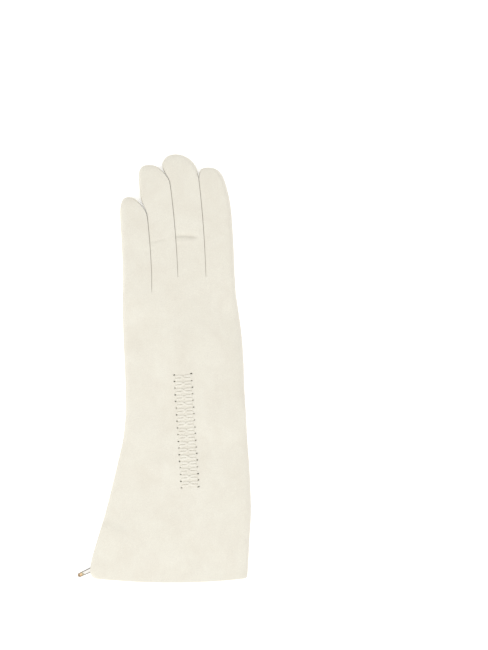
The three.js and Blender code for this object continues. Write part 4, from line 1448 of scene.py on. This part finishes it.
def threads(tree, where, scale, distortion, way):
    inputs = {"Vector": where, "Scale": scale * PER_METRE, "Distortion": distortion, "Detail": 1.0}
    return add_node(tree, "ShaderNodeTexWave", inputs, bands_direction=way).outputs["Fac"]


def woven_tape():
    material, tree, shader, where = new_material("woven_tape", (0.60, 0.55, 0.44), 0.85)
    warp = threads(tree, where, 0.55, 0.4, "DIAGONAL")
    weft = threads(tree, where, 0.85, 0.3, "Y")
    weave = maths(tree, "MULTIPLY", warp, weft)
    colour = mix_colour(tree, weave, TAPE_DARK, TAPE_LIGHT)
    wear = use_group(tree, WEAR, {"Vector": where, "Spot size": 9.0})
    soiled = maths(tree, "MULTIPLY", wear.outputs["Soil"], 0.35)
    colour = mix_colour(tree, soiled, colour, TAPE_SOIL)
    tree.links.new(colour, shader.inputs["Base Color"])
    bump(tree, shader, weave, 0.6, 0.15)
    return material


def scratches(tree, where, stretch, scale):
    way = add_node(tree, "ShaderNodeMapping", {"Vector": where, "Scale": stretch}).outputs[0]
    lines = noise(tree, way, scale * PER_METRE, 4.0, 0.7)
    return remap(tree, lines, 0.52, 0.66, 0.0, 1.0)


def brass_teeth():
    material, tree, shader, where = new_material("brass_teeth", (0.72, 0.52, 0.24), 0.3, 1.0)
    wear = use_group(tree, WEAR, {"Vector": where, "Spot size": 4.0})
    colour = mix_colour(tree, wear.outputs["Soil"], BRASS, BRASS_DULL)
    tree.links.new(colour, shader.inputs["Base Color"])
    lines = scratches(tree, where, (1.0, 0.2, 1.0), 3.0)
    rough = maths(tree, "MULTIPLY_ADD", lines, 0.18, 0.26)
    rough = maths(tree, "MULTIPLY_ADD", wear.outputs["Soil"], 0.25, rough)
    tree.links.new(rough, shader.inputs["Roughness"])
    bump(tree, shader, lines, 0.25, 0.02)
    return material


PLATE_WORN_FROM = 0.76
PLATE_WORN_TO = 0.86
# Width of the painted shade along the tab's edge, and radius of the painted shadow round its hole.
SHADED_EDGE_WIDTH = 0.75
SHADOW_DOT_RADIUS = 0.75


def pull_masks(tree, where):
    """How far along the tab a place is, as a share, and where shade is painted on its edge and hole.
    """
    cosine = math.cos(HEADING)
    sine = math.sin(HEADING)
    along, across = measured(tree, where, pivot, [(cosine, sine), (-sine, cosine)])
    half = remap(tree, along, TAPER_FROM, TIP_CENTRE, PULL_WIDTH / 2, PULL_TIP_WIDTH / 2)
    from_hole = maths(tree, "SUBTRACT", along, TIP_CENTRE)
    past_tip = maths(tree, "MAXIMUM", from_hole, 0.0)
    inside = maths(tree, "SUBTRACT", half, hypotenuse(tree, across, past_tip))
    edge = remap(tree, inside, SHADED_EDGE_WIDTH * 0.55, SHADED_EDGE_WIDTH, 1.0, 0.0)
    dot = remap(tree, hypotenuse(tree, across, from_hole), SHADOW_DOT_RADIUS * 0.7, SHADOW_DOT_RADIUS, 1.0, 0.0)
    return maths(tree, "DIVIDE", along, PULL_LENGTH), maths(tree, "MAXIMUM", edge, dot)


def plated_metal(name, worn_tip):
    """Bright plate with fine scratches. Near the tab's tip it has worn through to brass."""
    material, tree, shader, where = new_material(name, (0.80, 0.77, 0.72), 0.22, 1.0)
    wear = use_group(tree, WEAR, {"Vector": where, "Spot size": 3.0})
    colour = mix_colour(tree, wear.outputs["Soil"], NICKEL, NICKEL_DULL)
    painted_shade = 0.0
    if worn_tip:
        share, painted_shade = pull_masks(tree, where)
        # Painted shade: the tab's edge goes dark, and a painted shadow rings the hole in its tip.
        colour = mix_colour(tree, painted_shade, colour, NICKEL_PAINTED_SHADE)
        ragged = noise(tree, where, 1.1 * PER_METRE, 3.0, 0.6)
        share = maths(tree, "MULTIPLY_ADD", maths(tree, "SUBTRACT", ragged, 0.5), 0.12, share)
        brass = remap(tree, share, PLATE_WORN_FROM, PLATE_WORN_TO, 0.0, 1.0)
        golden = mix_colour(tree, wear.outputs["Rub"], TIP_GOLD, TIP_GOLD_DULL)
        # The brass tip gets the same painted shade at its edge and round its hole.
        golden = mix_colour(tree, painted_shade, golden, TIP_PAINTED_SHADE)
        colour = mix_colour(tree, brass, colour, golden)
        from_step = maths(tree, "ABSOLUTE", maths(tree, "MULTIPLY_ADD", brass, 2.0, -1.0))
        tarnish = maths(tree, "MULTIPLY_ADD", from_step, -0.6, 0.6)
        colour = mix_colour(tree, tarnish, colour, TARNISH)
    tree.links.new(colour, shader.inputs["Base Color"])
    tree.links.new(maths(tree, "MULTIPLY_ADD", painted_shade, -0.9, 1.0), shader.inputs["Metallic"])
    lines = scratches(tree, where, (1.0, 0.45, 1.0), 2.6)
    rough = maths(tree, "MULTIPLY_ADD", lines, 0.16, maths(tree, "MULTIPLY_ADD", painted_shade, 0.4, 0.24))
    tree.links.new(rough, shader.inputs["Roughness"])
    bump(tree, shader, lines, 0.2, 0.02)
    return material


tape_cloth = woven_tape()
teeth_brass = brass_teeth()
pull_metal = plated_metal("plated_pull", True)
slider_metal = plated_metal("plated_slider", False)
print("zip finishes ready")

# %% [markdown]
# ## Dress the frame
# Every fine piece rides on its body and has its finish, and those that stand for a solid take its
# place.

# %% Give each piece its finish, body and solid


def dress(piece, material, body, slot_name, *nodes):
    piece.data.materials.clear()
    piece.data.materials.append(material)
    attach(piece, body)
    if nodes:
        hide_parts(*nodes)


for piece_name, piece in leather.items():
    finish = trank_suede if piece_name == "trank" else fourchette_suede
    dress(piece, finish, "glove", "suede", piece_name)
dress(thumb, thumb_leather, "glove", "suede", "thumb")
dress(panel_laces, highlit_lace_suede, "glove", "suede")
dress(zip_tape, tape_cloth, "glove", "zip_tape", "zip_tape")
dress(zip_teeth, teeth_brass, "glove", "zip_teeth", "zip_chain")
dress(zip_slider, slider_metal, "glove", "zip_metal", "zip_slider")
dress(pull, pull_metal, "zip_pull", "zip_metal", "zip_pull")

# %% [markdown]
# ## Studio
# A white surface that glows a little, as a light table does, even light from all round, and one
# large soft light that leans from the hem and the left. The camera looks straight down and
# stands far off.

# %% Set the floor, light and camera
FLOOR_SIDE = 6.0
VIEW_CENTRE = (0.0555, 0.19125)
CAMERA_LENS = 200
SENSOR = 36
VIEW_HEIGHT = 0.4875
AMBIENT = 1.025
FLOOR_GLOW = 0.3
LIGHT_SIZE = 0.9
LIGHT_PLACE = Vector((-0.42, -1.10, 1.05))
LIGHT_TARGET = Vector((0.0, 0.16, 0.0))
LIGHT_POWER = 8.0

bpy.ops.mesh.primitive_plane_add(size=FLOOR_SIDE, location=(*VIEW_CENTRE, 0))
floor = bpy.context.object
floor.name = "floor"
white = (0.96, 0.96, 0.96)
floor_paint, floor_tree, floor_shader, floor_where = new_material("white_card", white, 0.9)
floor_shader.inputs["Specular IOR Level"].default_value = 0.0
floor_shader.inputs["Emission Color"].default_value = (1.0, 1.0, 1.0, 1)
floor_shader.inputs["Emission Strength"].default_value = FLOOR_GLOW
card = noise(floor_tree, floor_where, 0.4 * PER_METRE, 3.0, 0.5)
bump(floor_tree, floor_shader, card, 0.05, 0.05)
floor.data.materials.append(floor_paint)

world = bpy.data.worlds.new("studio")
bpy.context.scene.world = world
world.use_nodes = True
background = world.node_tree.nodes["Background"]
background.inputs["Color"].default_value = (1.0, 1.0, 1.0, 1)
background.inputs["Strength"].default_value = AMBIENT

lamp = bpy.data.lights.new("softbox", "AREA")
lamp.size = LIGHT_SIZE
lamp.energy = LIGHT_POWER
softbox = in_scene("softbox", lamp)
softbox.location = LIGHT_TARGET + LIGHT_PLACE
softbox.rotation_euler = (-LIGHT_PLACE).to_track_quat("-Z", "Y").to_euler()

lens = bpy.data.cameras.new("camera")
lens.lens = CAMERA_LENS
lens.sensor_width = SENSOR
lens.clip_end = 20
camera = in_scene("camera", lens)
camera.location = (*VIEW_CENTRE, VIEW_HEIGHT * CAMERA_LENS / SENSOR)
bpy.context.scene.camera = camera
bpy.context.scene.view_settings.view_transform = "Standard"
bpy.context.scene.view_settings.look = "None"
print("camera stands", round(camera.location.z, 3), "m above the surface")
